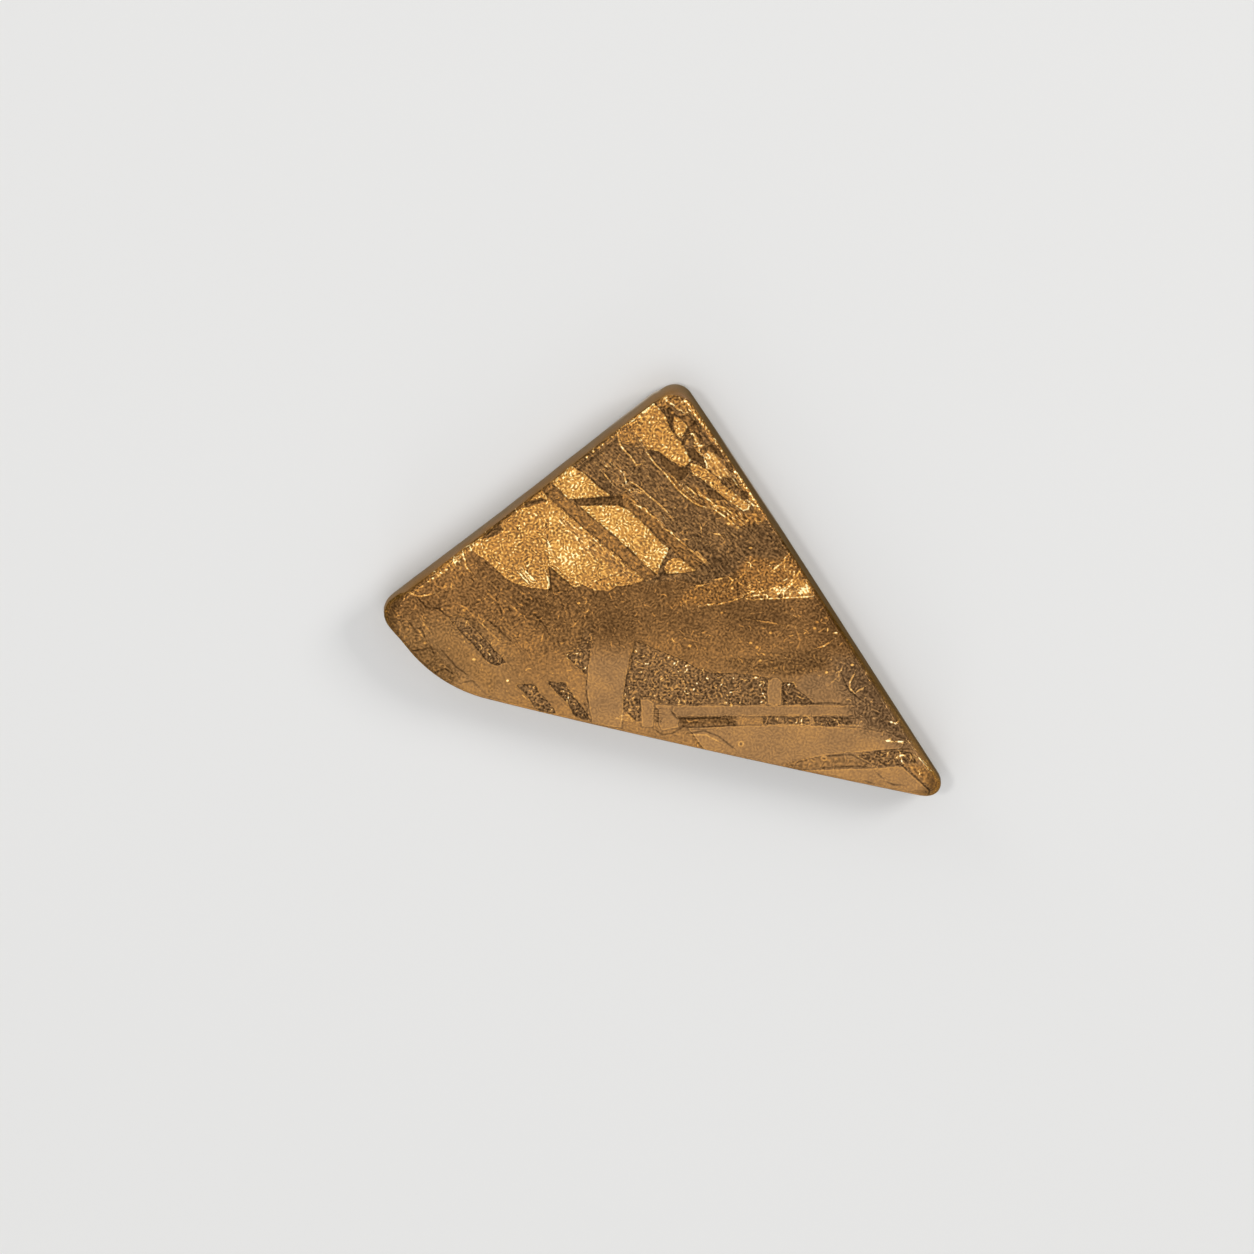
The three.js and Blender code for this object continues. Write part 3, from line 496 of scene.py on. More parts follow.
# Fainter lines of the same kind, which only show as a lighter trace.
THREADS = [
    [(-3.65, 9.3), (-3.25, 8.8)], [(-4.1, 8.65), (-3.6, 8.3)], [(-3.8, 8.6), (-3.45, 8.5)],
    [(-3, 8.9), (-2.6, 8.4), (-2.1, 7.9)], [(-3.4, 7.75), (-3, 7.25), (-2.6, 6.95)],
    [(-3.1, 7.6), (-2.9, 7.4)], [(-2.6, 8.25), (-2.4, 8), (-2.3, 7.6)],
    [(-2.4, 6.75), (-2, 6.45), (-1.5, 5.95)], [(-1.45, 10.3), (-1.2, 9.9), (-1, 9.6)],
    [(0.4, 5.4), (0.6, 5.1), (1, 4.8), (1.3, 4.6)], [(-0.2, 4.95), (0, 4.7)], [(0.65, 4.1), (0.95, 3.8)],
    [(-5, 8.3), (-4.6, 8), (-4.2, 7.7)],
    [(0.3, 8.1), (0.65, 7.85), (1.05, 7.35), (1.6, 6.8), (2.2, 6.3), (2.6, 5.98)],
    [(2.2, 7.1), (2.6, 6.7)], [(3.4, 6.25), (3.8, 6.35), (4.1, 6.05)], [(3.8, 5.7), (4.4, 5.15), (4.8, 5)],
    [(4.6, 5.2), (5.1, 4.85)], [(4.3, 6.3), (4.6, 6), (5, 5.7)], [(1.4, 12.8), (1.6, 12.45), (1.8, 12.05)],
    [(1.15, 12.9), (1.35, 12.6), (1.55, 12.1)], [(1.5, 10.2), (1.7, 10.15)],
    [(-6.6, 5.2), (-5.6, 4.1), (-4.6, 3.3)], [(-6.3, 5.3), (-5.3, 4.4), (-4.3, 3.5)],
    [(-6, 4.4), (-5, 3.4)], [(-5.2, 3.3), (-4.4, 2.7)], [(-12.9, -0.4), (-12.3, -0.7), (-11.8, -1.3)],
    [(-10.9, 0.2), (-10.3, -0.3), (-9.9, -1)], [(-9.4, -0.6), (-8.9, -1.1), (-8.6, -1.7)],
    [(-11.5, -1.6), (-10.9, -2.2), (-10.2, -2.9)], [(-15.9, -1.9), (-15.3, -2.1), (-15, -2.6)],
    [(-15.1, -1.5), (-14.6, -2.2)], [(5.6, -1.1), (6.2, -1)], [(2.4, -2.3), (2.9, -2.5)],
    [(1.4, -2.7), (2, -2.9)], [(8.3, -2), (8.6, -2.9), (8.4, -3.4)],
    [(10.6, -5.6), (11, -5.2), (11.2, -4.7)], [(12.3, -6.9), (12.7, -6.6), (13.1, -6.9)],
    [(12.6, -7.6), (13, -7.3), (13.4, -7.5)], [(-2.9, -7.95), (-2.3, -8.1)],
    [(-2.6, -7.8), (-2.1, -7.75), (-1.95, -8.05)], [(2, -8.1), (2.9, -8.25)],
    [(1.9, -9.05), (2.7, -9.05), (3.5, -9.5)],
]
# Narrow dark grooves, where the acid bit along a border or a crack.
GROOVES = [
    [(15, -11.1), (15.8, -11.8), (16.5, -12.5), (16.8, -12.85)], [(13.5, -11.65), (13.75, -11.9)],
    [(14.1, -12.2), (14.5, -12.35), (14.95, -12.35)],
    [(10.4, -10.45), (11.8, -10.35), (12.4, -10.7), (12.9, -10.95)],
    [(12.8, -10.25), (14, -10.05), (15.4, -9.98)], [(10, -11.25), (11.5, -11.15), (12.7, -11.15)],
    [(-10.8, -1.6), (-10.2, -2.15), (-9.5, -2.85)],
    [(-13.8, -3.5), (-13.3, -4.1), (-12.9, -4.6), (-12.4, -4.95)],
    [(-15.3, -0.05), (-14.8, -0.65), (-14, -0.75), (-13.4, -1.3)],
    [(-10.4, -0.1), (-10.2, -0.6), (-10.05, -1.1)], [(-7.9, -1.25), (-7.6, -1.6), (-7.25, -2.1)],
    [(0.6, -7.6), (0.8, -7.9), (1, -8), (3.6, -7.95)], [(4, -7.95), (4.15, -8.25), (4.4, -8.3)],
    [(-0.3, -8.85), (0, -9.05), (0.6, -8.95), (1.2, -8.6)],
    [(1.7, -8.95), (2.6, -8.8), (3.5, -9.15), (4.4, -9.9)],
    [(1.2, -8.5), (2.2, -8.6), (3.2, -8.5), (4.5, -8.45)],
    [(-4.78, -5.5), (-4.68, -5.9), (-4.8, -6.4), (-4.66, -6.9)], [(-4.9, -7), (-4.7, -7.4), (-4.75, -7.8)],
    [(9.3, -7), (10.4, -6.95), (11.2, -7)], [(11.2, -5.1), (11.45, -5.7), (11.7, -6.2), (12.4, -6.75)],
    [(2.95, 8.28), (3.3, 8), (3.75, 7.62)], [(1.2, 12.95), (1.45, 12.5), (1.68, 12)],
    [(-3.9, 8.75), (-3.5, 8.45)], [(-3.2, 7.6), (-3, 7.4)], [(-1.75, 7.3), (-1.5, 7.1)],
    [(1.5, 6.85), (2, 6.4), (2.5, 6.05)], [(2.2, 6.65), (2.6, 6.3)],
    [(4.68, 0.2), (4.65, 0.7), (4.7, 1.15)], [(-0.1, 12.7), (0.1, 12.2)], [(-0.45, -7.35), (-0.2, -7.35)],
    [(-0.5, -7.65), (-0.25, -7.65)], [(-0.45, -7.9), (-0.2, -7.95)], [(-0.4, -8.15), (-0.15, -8.2)],
    [(-15.8, -1.7), (-15.5, -2.1), (-15.1, -2), (-14.9, -2.5)],
    [(-15.6, -3.5), (-14.9, -3.45), (-14.5, -3.3), (-14.3, -3.7)],
    [(-14.1, -4.9), (-13.6, -4.7), (-13.2, -5)], [(-12.4, -5.6), (-11.9, -5.5), (-11.6, -5.8)],
    [(-11, 4.1), (-10.7, 4.4), (-10.3, 4.5)], [(-8.7, 6.05), (-8.1, 6.25), (-7.5, 6.35)],
    [(12.7, -12.1), (13, -12.2)], [(13.7, -12.7), (14.1, -12.9), (14.5, -12.95)],
    [(16.6, -13), (16.8, -13.2)], [(9.2, -11.75), (9.4, -11.8)],
]
# Bright flecks: x and y.
FLECKS = [
    (15.9, -10), (16.15, -10.6), (16.55, -11), (16.85, -11.4), (14, -6.9), (15.4, -9.5), (15.9, -9.95),
    (16.1, -10.6), (16.65, -10.9), (17.05, -11.85), (14, -6.65), (12.95, -5.5), (12.8, -5), (10.25, -4.95),
    (10.2, -1.35), (9.65, -1.65), (9.5, -2.05), (10.85, -2.35), (11.85, -4.45), (6.75, -2.35), (5.5, -3),
    (5.9, -3.3), (6.1, -4.2), (4.3, -7.1), (1.7, -3.2), (-1.7, -3.6), (3.7, -1.05), (-5.25, -0.4),
    (0.55, 4.2), (5.5, 3.2), (8.3, 2.8), (7.1, 1.9), (4.33, 0.6), (-13.6, 0.7), (-12.4, -0.85),
    (-14.85, -3), (-11.8, -4.1), (-9.7, -5.5), (-0.6, 12.65), (-0.9, 12.38), (-1.1, 12.2), (-1.25, 12.12),
    (-1.5, 11.85), (0.6, 13.35), (1.5, 13.1), (1.4, 12.85), (2, 12.25), (2.05, 11.9), (2.3, 11.65),
    (2.5, 11.35), (2.75, 11.15), (2.92, 10.9), (3.25, 10.35), (3.45, 10.05), (3.75, 9.6), (4.05, 9.2),
    (4.2, 8.95), (4.55, 8.2), (4.92, 7.7), (5.15, 7.4), (5.3, 7.15), (5.5, 6.8), (5.75, 6.4), (5.98, 5.98),
    (4.1, 4.8), (4.4, 4.8), (-4, 9.8), (-3.72, 10.02), (-3.4, 10.3), (-3.12, 10.5), (-2.9, 10.66),
    (-4.35, 9.55), (-4.75, 9.2), (14.05, -9.45), (14.2, -9.38), (14.8, -9.52), (14.98, -9.55),
    (14.3, -8.22), (14.6, -8.3), (14.88, -8.2), (14.7, -10.55), (15, -10.42), (16.9, -11.2),
    (17.1, -11.45), (17.3, -12), (16.4, -10.3), (-16.1, -0.14), (-15.6, 0.27), (-15.05, 0.7),
    (-14.6, 1.05), (-14, 1.5), (-13.5, 1.84), (-12.9, 2.38), (-15.3, 0.45), (-14.35, 1.22), (-13.8, 1.62),
    (-12, 3.1), (-11.6, 3.45), (5, 4.75), (5.3, 5), (4.7, 4.55), (1.45, 9.45), (1.7, 8.95), (0.6, 12.1),
    (-1.4, 10.25),
]
# Small rings with a dark middle, where a round inclusion was cut: x and y.
RINGS = [
    (4.9, -9.65), (12.85, -5), (1.6, 0.36), (1.4, 4.25), (-16.7, -1.2), (-1.9, 7), (3.15, 7.45),
    (10.1, -10.6), (14.1, -7.2), (-4.6, 8.5),
]


def lines(x, y, paths):
    """Signed distance to the nearest of several open lines."""
    best = np.full(x.shape, FAR)
    for path in paths:
        gap = distance(x, y, path, closed=False)
        best = np.where(np.abs(gap) < np.abs(best), gap, best)
    return best


def nearest(x, y, spots, stretch=1.0):
    """Distance to the nearest of several spots, with Y stretched."""
    return np.min([np.hypot(x - spot_x, (y - spot_y) * stretch) for spot_x, spot_y in spots], axis=0)


# The pattern runs on over the rounded edge as if the edge were laid out flat: out from the face's outline.
# slant is the way down over the edge, measured square to it, and unrolled is what that is beyond its plan.
tangent = np.roll(wall_line, -1, axis=0) - np.roll(wall_line, 1, axis=0)
outward = np.column_stack((tangent[:, 1], -tangent[:, 0])) / np.linalg.norm(tangent, axis=1)[:, None]
steps = np.diff(rings[::-1], axis=0)
plan = (steps[..., :2] * outward).sum(axis=2)
slant = np.hypot(plan, steps[..., 2]).cumsum(axis=0)[::-1]
unrolled = slant - plan.cumsum(axis=0)[::-1]
sheet = points.copy()
sheet[:top_ring, :2] += (outward * unrolled[..., None]).reshape(-1, 2)
sheet[:, 2] = THICKNESS
x, y = sheet[:, 0], sheet[:, 1]
pattern = painted(x, y)
pattern["ridge"] = lines(x, y, RIDGES)
pattern["groove"] = lines(x, y, GROOVES)
pattern["thread"] = lines(x, y, THREADS)
pattern["fleck"] = nearest(x, y, FLECKS, 1.2)
pattern["eyelet"] = nearest(x, y, RINGS)

# How far inside the face's edge a point is. On the rounded edge and the wall: how far outside, as minus.
inside = np.zeros(len(points))
inside[:top_ring] = -slant.ravel()
inside[face_start:back_start] = distance(face_inner[:, 0], face_inner[:, 1], face_line[::4])
inside[back_start:] = -FAR


def round_edge(values):
    """One value for each point of an outline, given to all its rings, and 0 on the face and the back."""
    return np.concatenate((np.tile(values, ring_count), np.zeros(len(points) - face_start)))


# The etch runs on over the rounded edge by its reach, nearly out to the wall along the two upper sides.
# Round the two end corners it stops at the same share of the rounded edge all the way.
REACH_X = (-3, -1, 3, 7, 10, 14, 16)
REACH = (0.5, 0.45, 0.42, 0.38, 0.42, 0.65, 0.8)
LOWER_REACH = 0.35
END_SHARE = 0.85
facing = round_edge(outward[:, 1])
rounding = round_edge(slant[1 - ARRIS_RINGS])
reach = np.interp(x, REACH_X, REACH)
lower_side = smooth(0, -0.3, facing) * smooth(16.6, 14.5, x) * smooth(-17, -15.5, x)
reach += (LOWER_REACH - reach) * lower_side
ends = np.maximum(smooth(14.6, 16.0, x), smooth(-16.2, -17.0, x)) * (rounding > 0)
reach += (END_SHARE * rounding - reach) * ends
pattern["rim"] = inside + reach + 0.06 * (lumps(x, y, 0.6, 41) - 0.5)
# Painted glints: small bright points line the end of the etch along the two upper sides.
edge_share = np.where(x < 1, smooth(-16, -13, x), smooth(4, 6, y) + 0.3)
edge_painted_glints = smooth(0.5, 0.1, pattern["rim"]) * edge_share * (y > crease(x) - 1.5)
pattern["painted_glints"] = np.maximum(pattern["painted_glints"], edge_painted_glints)

# Painted shade: the bare iron is painted darker brown on the right-hand half than on the left, and the etch
# is painted darker and less grey over the rounded edge of the right-hand side.
pattern["painted_shade"] = smooth(0, 4, x)
painted_edge_shade = smooth(0.1, -0.12, inside) * smooth(6, 9, x) * smooth(15, 10, x)
pattern["tone"] -= 0.10 * painted_edge_shade
pattern["pale"] *= 1 - 0.8 * painted_edge_shade

# Painted rim light: two lines are painted pale, the outermost of the rounded edge at the back, and fainter
# and only along the lower sides, that of the upper edge.
height = points[:, 2]
low_line = smooth(0.04, 0.24, height) * smooth(0.60, 0.42, height)
high_line = smooth(0.5, 0.3, THICKNESS - height) * smooth(0.12, 0.2, THICKNESS - height)
high_line *= 0.3 * smooth(0.1, -0.6, facing)
pattern["painted_rim_light"] = (np.arange(len(points)) < top_ring) * np.maximum(low_line, high_line)

# Relief, at the points' true places: the fields sink to their depths, the ridges stand up, and a coarse
# grain roughens all but the rods.
x, y = points[:, 0], points[:, 1]
SURFACE = -0.03
RIDGE_HEIGHT = 0.03
RIDGE_WIDTH = 0.07
GRAIN_HEIGHT = 0.06
coarse = lumps(x, y, 0.21, 3) + 0.6 * lumps(x, y, 0.34, 4) - 0.8
ridge = np.exp(-(pattern["ridge"] / RIDGE_WIDTH) ** 2)
relief = SURFACE - pattern.pop("depth") + RIDGE_HEIGHT * ridge + GRAIN_HEIGHT * coarse * pattern["spread"]
sunk = smooth(0, 0.25, inside) * np.minimum(relief, 0)
points[face_start:back_start, 2] += sunk[face_start:back_start]

# The wall was ground by hand, so it waves a little: in from the drawn outline, never out.
WAVE = 0.03
WAVE_FADE = 0.6
height = points[:top_ring, 2]
wave = WAVE * lumps(x[:top_ring] + y[:top_ring], height * 2, 1.7, 8)
wave *= smooth(0, WAVE_FADE, height) * smooth(THICKNESS, THICKNESS - WAVE_FADE, height)
toward = face_line.mean(axis=0) - points[:top_ring, :2]
toward /= np.linalg.norm(toward, axis=1)[:, None]
points[:top_ring, :2] += toward * wave[:, None]

# One mesh with three finishes: the etched face with its rounded edge, the ground wall and the sawn back.
ETCHED, GROUND, SAWN = 0, 1, 2
corners = np.vstack((wall_corners, face_corners, back_corners))
wall_ring = np.repeat(np.arange(ring_count - 1), loop_count * 2)
finish = np.full(len(corners), ETCHED)
finish[:len(wall_corners)] = np.where(wall_ring >= ARRIS_RINGS + WALL_RINGS - 1, ETCHED, GROUND)
finish[-len(back_corners):] = SAWN
mesh = bpy.data.meshes.new("etched_slice")
mesh.vertices.add(len(points))
mesh.vertices.foreach_set("co", ((points - (*middle, 0)) * MM).ravel())
mesh.loops.add(corners.size)
mesh.loops.foreach_set("vertex_index", corners.ravel())
mesh.polygons.add(len(corners))
mesh.polygons.foreach_set("loop_start", np.arange(0, corners.size, 3))
mesh.polygons.foreach_set("loop_total", np.full(len(corners), 3))
mesh.polygons.foreach_set("material_index", finish)
mesh.polygons.foreach_set("use_smooth", np.ones(len(corners), dtype=bool))
for name, values in pattern.items():
    layer = mesh.attributes.new(name, "FLOAT", "POINT")
    layer.data.foreach_set("value", values.astype(np.float32))
layer = mesh.attributes.new("sheet", "FLOAT_VECTOR", "POINT")
layer.data.foreach_set("vector", (sheet - (*middle, 0)).astype(np.float32).ravel())
mesh.update(calc_edges=True)
mesh.validate()
etched_slice = bpy.data.objects.new("etched_slice", mesh)
bpy.context.scene.collection.objects.link(etched_slice)


def srgb(red, green, blue):
    """A colour given as 0 to 255 screen values, as the linear values that a shader takes."""
    screen = np.array((red, green, blue)) / 255
    linear = np.where(screen <= 0.04045, screen / 12.92, ((screen + 0.055) / 1.055) ** 2.4)
    return (*linear, 1)


class Wiring:
    """Adds nodes to one tree. Values may be numbers, colours or the outputs of other nodes."""

    def __init__(self, tree):
        self.tree = tree

    def join(self, value, socket):
        """A link from an output to a socket."""
        self.tree.links.new(value, socket)

    def put(self, kind, output=0, options=None, **inputs):
        """One node. An input is given by its name with _ for spaces, or by its number, as input0."""
        node = self.tree.nodes.new(kind)
        for key, value in (options or {}).items():
            setattr(node, key, value)
        for key, value in inputs.items():
            name = key.replace("_", " ")
            socket = node.inputs[int(name[5:])] if name.startswith("input") else node.inputs[name]
            if isinstance(value, bpy.types.NodeSocket):
                self.join(value, socket)
            else:
                socket.default_value = value
        return node.outputs[output]

    def read(self, name, output="Fac"):
        """One of the mesh's own values, by its name."""
        return self.put("ShaderNodeAttribute", output, dict(attribute_name=name))

    def maths(self, kind, first, second=0.0, clamp=False):
        """A Math node of the given kind."""
        options = dict(operation=kind, use_clamp=clamp)
        return self.put("ShaderNodeMath", 0, options, input0=first, input1=second)

    def times_plus(self, value, factor, base):
        """Value times factor, plus base."""
        return self.put("ShaderNodeMath", 0, dict(operation="MULTIPLY_ADD"),
                        input0=value, input1=factor, input2=base)

    def vector(self, kind, first, second, output=0):
        """A Vector Math node of the given kind."""
        return self.put("ShaderNodeVectorMath", output, dict(operation=kind), input0=first, input1=second)

    def scale(self, vector, factor):
        """A vector or colour times a number."""
        return self.put("ShaderNodeVectorMath", 0, dict(operation="SCALE"), input0=vector, Scale=factor)

    def turned(self, vector, stretch, turn=0.0):
        """A place turned about Z and then stretched."""
        about_z = self.put("ShaderNodeMapping", 0, Vector=vector, Rotation=(0, 0, turn))
        return self.vector("MULTIPLY", about_z, stretch)

    def noise(self, place, scale, detail, output="Fac", **more):
        """Fractal noise at a place, around 0.5."""
        return self.put("ShaderNodeTexNoise", output, Vector=place, Scale=scale, Detail=detail, **more)

    def step(self, value, low, high, to_low=0.0, to_high=1.0):
        """Smooth step of a value between low and high, going from to_low to to_high."""
        return self.put("ShaderNodeMapRange", 0, dict(interpolation_type="SMOOTHSTEP"), Value=value,
                        From_Min=low, From_Max=high, To_Min=to_low, To_Max=to_high)

    def mixed(self, amount, first, second):
        """The first value, moved to the second by an amount from 0 to 1."""
        return self.put("ShaderNodeMix", 0, dict(data_type="FLOAT", clamp_factor=True),
                        input0=amount, input2=first, input3=second)

    def blend(self, amount, first, second, kind="MIX"):
        """The first colour, moved by an amount to the second or to their product."""
        options = dict(data_type="RGBA", blend_type=kind, clamp_factor=True)
        return self.put("ShaderNodeMix", 2, options, input0=amount, input6=first, input7=second)

    def ramp(self, value, *stops):
        """A colour for each value, straight between stops of place and colour."""
        out = self.put("ShaderNodeValToRGB", "Color", Fac=value)
        marks = out.node.color_ramp.elements
        while len(marks) < len(stops):
            marks.new(0.5)
        for mark, (place, colour) in zip(marks, stops):
            mark.position = place
            mark.color = colour
        return out

    def use(self, built, **inputs):
        """Places a shader node group and returns its outputs."""
        return self.put("ShaderNodeGroup", 0, dict(node_tree=built.tree), **inputs).node.outputs


def group(name, inputs, outputs):
    """An empty shader node group with named sockets: returns its wiring, its inputs and its results."""
    tree = bpy.data.node_groups.new(name, "ShaderNodeTree")
    for title, kind in inputs.items():
        tree.interface.new_socket(title, in_out="INPUT", socket_type="NodeSocket" + kind)
    for title, kind in outputs.items():
        tree.interface.new_socket(title, in_out="OUTPUT", socket_type="NodeSocket" + kind)
    given = tree.nodes.new("NodeGroupInput").outputs
    result = tree.nodes.new("NodeGroupOutput").inputs
    return Wiring(tree), given, result


# Etch maze: acid leaves short curved strokes, all about as wide as each other. Waves of one length run in
# nine directions, each strong in some patches and weak in others, over a place that is bent a little. Their
# sum is the maze, with strokes 0.12 mm wide and as far apart.
PITCH = 0.235
BEND = 0.7
DIRECTIONS = 9
etch_maze, given, result = group("etch_maze", {"Place": "Vector"}, {"Maze": "Float"})
bend = etch_maze.noise(given["Place"], 1.5, 1.0, "Color")
bent = etch_maze.put("ShaderNodeVectorMath", 0, dict(operation="MULTIPLY_ADD"),
                     input0=bend, input1=(BEND, BEND, 0), input2=given["Place"])
total = 0.0
for index in range(DIRECTIONS):
    if index % 3 == 0:
        moved = (index * 7.3, 5, index)
        patches = etch_maze.put("ShaderNodeMapping", 0, Vector=given["Place"], Location=moved)
        patches = etch_maze.noise(patches, 0.9, 1.0, "Color")
        patches = etch_maze.put("ShaderNodeSeparateColor", 0, Color=patches).node.outputs
    turn = np.pi * index / DIRECTIONS + 0.1
    rate = 2 * np.pi / (PITCH * (1 + 0.1 * np.sin(2.4 * index)))
    heading = (rate * np.cos(turn), rate * np.sin(turn), 0.7 * rate * np.cos(3 * index))
    wave = etch_maze.vector("DOT_PRODUCT", bent, heading, "Value")
    wave = etch_maze.maths("SINE", etch_maze.maths("ADD", wave, 1.7 * index))
    strength = etch_maze.step(patches[index % 3], 0.38, 0.62, 0.15, 1.0)
    total = etch_maze.times_plus(wave, strength, total)
etch_maze.join(etch_maze.step(total, -2.3, 2.3), result["Maze"])

# Etch hairs: short bent lines. Laid bright they are painted glints of single crystals that stand on edge,
# and laid dark they are dark strokes of the etch. Each cell of a scattered pattern holds one hair.
etch_hairs, given, result = group(
    "etch_hairs", {"Place": "Vector", "Cells": "Float", "Share": "Float"}, {"Mark": "Float"})
cell = etch_hairs.put("ShaderNodeTexVoronoi", "Color", dict(voronoi_dimensions="2D"),
                      Vector=given["Place"], Scale=given["Cells"]).node.outputs
chance = etch_hairs.put("ShaderNodeSeparateColor", 0, Color=cell["Color"]).node.outputs
offset = etch_hairs.vector("SUBTRACT", given["Place"], cell["Position"])
offset = etch_hairs.put("ShaderNodeVectorRotate", 0, dict(rotation_type="Z_AXIS"), Vector=offset,
                        Angle=etch_hairs.maths("MULTIPLY", chance["Red"], np.pi))
offset = etch_hairs.put("ShaderNodeSeparateXYZ", 0, Vector=offset).node.outputs
square = etch_hairs.maths("MULTIPLY", offset["X"], offset["X"])
bow = etch_hairs.maths("MULTIPLY", etch_hairs.maths("SUBTRACT", chance["Green"], 0.5), 6.0)
bow = etch_hairs.maths("MULTIPLY", square, bow)
beside = etch_hairs.maths("ABSOLUTE", etch_hairs.maths("ADD", offset["Y"], bow))
half_length = etch_hairs.step(chance["Blue"], 0, 1, 0.04, 0.24)
beyond = etch_hairs.maths("SUBTRACT", etch_hairs.maths("ABSOLUTE", offset["X"]), half_length)
hair = etch_hairs.step(beside, 0.055, 0.02)
hair = etch_hairs.maths("MULTIPLY", hair, etch_hairs.step(beyond, 0.03, -0.03))
draw = etch_hairs.maths("FRACT", etch_hairs.maths("MULTIPLY", chance["Green"], 13.7))
hair = etch_hairs.maths("MULTIPLY", hair, etch_hairs.maths("LESS_THAN", draw, given["Share"]))
glow = etch_hairs.maths("FRACT", etch_hairs.maths("MULTIPLY", chance["Red"], 17.3))
glow = etch_hairs.maths("ADD", etch_hairs.maths("MULTIPLY", etch_hairs.maths("POWER", glow, 4.0), 0.8), 0.2)
etch_hairs.join(etch_hairs.maths("MULTIPLY", hair, glow), result["Mark"])

# Ground iron, for the wall, the back and the bare rim of the face: dull metal with fine scratches. A brown
# film from the etching lies next to the face and thins out down the wall. It is painted a darker brown as
# painted shade where asked, and thin lines are painted pale as painted rim light.
RIM_LIGHT_PALE = srgb(214, 202, 186)
ground_iron, given, result = group(
    "ground_iron", {"Place": "Vector", "Stain": "Float", "Worn": "Float"},
    {"Colour": "Color", "Roughness": "Float", "Height": "Float"})
stretch = ground_iron.put("ShaderNodeMapping", 0, Vector=given["Place"], Scale=(1.5, 1.5, 14.0))
scratches = ground_iron.noise(stretch, 1.6, 4.0, Roughness=0.65)
film = ground_iron.noise(given["Place"], 0.5, 3.0)
level = ground_iron.put("ShaderNodeSeparateXYZ", "Z", Vector=given["Place"])
level = ground_iron.maths("ADD", level, ground_iron.step(film, 0.3, 0.7, -0.4, 0.4))
level = ground_iron.maths("DIVIDE", level, THICKNESS)
thin_film = ground_iron.ramp(level, (0.0, srgb(164, 146, 128)), (0.3, srgb(164, 142, 120)),
                             (0.6, srgb(168, 136, 108)), (1.0, srgb(166, 124, 80)))
shaded_brown_film = ground_iron.ramp(level, (0.0, srgb(100, 76, 46)), (0.3, srgb(102, 72, 42)),
                              (0.8, srgb(110, 80, 52)), (1.0, srgb(114, 85, 58)))
# The darker brown ramp is painted shade.
dull = ground_iron.blend(given["Stain"], thin_film, shaded_brown_film)
dull = ground_iron.scale(dull, ground_iron.step(scratches, 0.35, 0.75, 0.86, 1.12))
# Pale lines of painted rim light.
dull = ground_iron.blend(given["Worn"], dull, RIM_LIGHT_PALE)
ground_iron.join(dull, result["Colour"])
ground_iron.join(ground_iron.step(scratches, 0.3, 0.7, 0.34, 0.48), result["Roughness"])
ground_iron.join(scratches, result["Height"])


def material(name):
    """A material with only its Principled shader: returns the wiring, the shader's inputs and the place in
    millimetres."""
    made = bpy.data.materials.new(name)
    made.use_nodes = True
    wiring = Wiring(made.node_tree)
    shader = made.node_tree.nodes["Principled BSDF"]
    place = wiring.scale(wiring.put("ShaderNodeTexCoord", "Object"), 1 / MM)
    mesh.materials.append(made)
    return wiring, shader.inputs, place


# The etched face. Its colour is a level on a palette from dark brown to pale gold: the tone of the field,
# moved by the maze, and then by each line, fleck and hair that lies on it.
PALETTE = (
    (0.2, srgb(58, 39, 19)), (0.38, srgb(98, 69, 38)), (0.49, srgb(125, 90, 51)), (0.59, srgb(151, 108, 60)),
    (0.76, srgb(194, 136, 66)), (0.87, srgb(224, 167, 84)), (0.95, srgb(248, 203, 116)),
    (1.0, srgb(255, 240, 180)),
)
YELLOWER = (1.0, 1.04, 1.12, 1)
REDDER = (1.04, 0.95, 0.84, 1)
GREYER = (0.99, 1.08, 1.40, 1)
UNCHANGED = (1, 1, 1, 1)
METAL_TINT = (0.62, 0.55, 0.40, 1)
# How metallic the lines of painted rim light are: less, so that they stay pale.
RIM_LIGHT_METALLIC = 0.3
face, shader, place = material("etched_face")
sheet_place = face.read("sheet", "Vector")


def maze(place):
    """The etch maze at a place, from 0 to 1."""
    return face.use(etch_maze, Place=place)["Maze"]


def near(name, wide, narrow):
    """1 on a line or fleck, falling to 0 away from it."""
    return face.step(face.maths("ABSOLUTE", face.read(name)), wide, narrow)


def both(first, second):
    """Product of two masks: 1 only where both are."""
    return face.maths("MULTIPLY", first, second)


def hairs(shift, cells, share):
    """Hairs from their own part of the scattered pattern."""
    moved = face.vector("ADD", sheet_place, (shift, 3 * shift, 0))
    return face.use(etch_hairs, Place=moved, Cells=cells, Share=share)["Mark"]


drawn_out = maze(face.turned(sheet_place, (0.45, 1.0, 1), GRAIN_TURN))
fine = face.mixed(face.read("streak"), maze(sheet_place), drawn_out)
broad = maze(face.turned(sheet_place, (0.84, 0.84, 1)))
crystal = face.mixed(face.read("coarse"), fine, broad)
pebbles = face.noise(sheet_place, 6.5, 1.0)
crystal = face.mixed(0.25, crystal, face.step(pebbles, 0.32, 0.68))
clouds = face.noise(sheet_place, 0.55, 3.0)
dust = face.noise(sheet_place, 9.0, 2.0, Roughness=0.6)
level = face.times_plus(face.maths("SUBTRACT", crystal, 0.5), face.read("spread"), face.read("tone"))
level = face.maths("ADD", level, face.step(clouds, 0.3, 0.7, -0.03, 0.03))
level = face.maths("ADD", level, face.step(dust, 0.3, 0.7, -0.03, 0.03))

edge = face.read("border")
ridge_gap = face.read("ridge")
eyelet_gap = face.read("eyelet")
painted_glints = face.read("painted_glints")
uneven = face.step(face.noise(sheet_place, 3.6, 1.0), 0.36, 0.62, 0.78, 1.0)
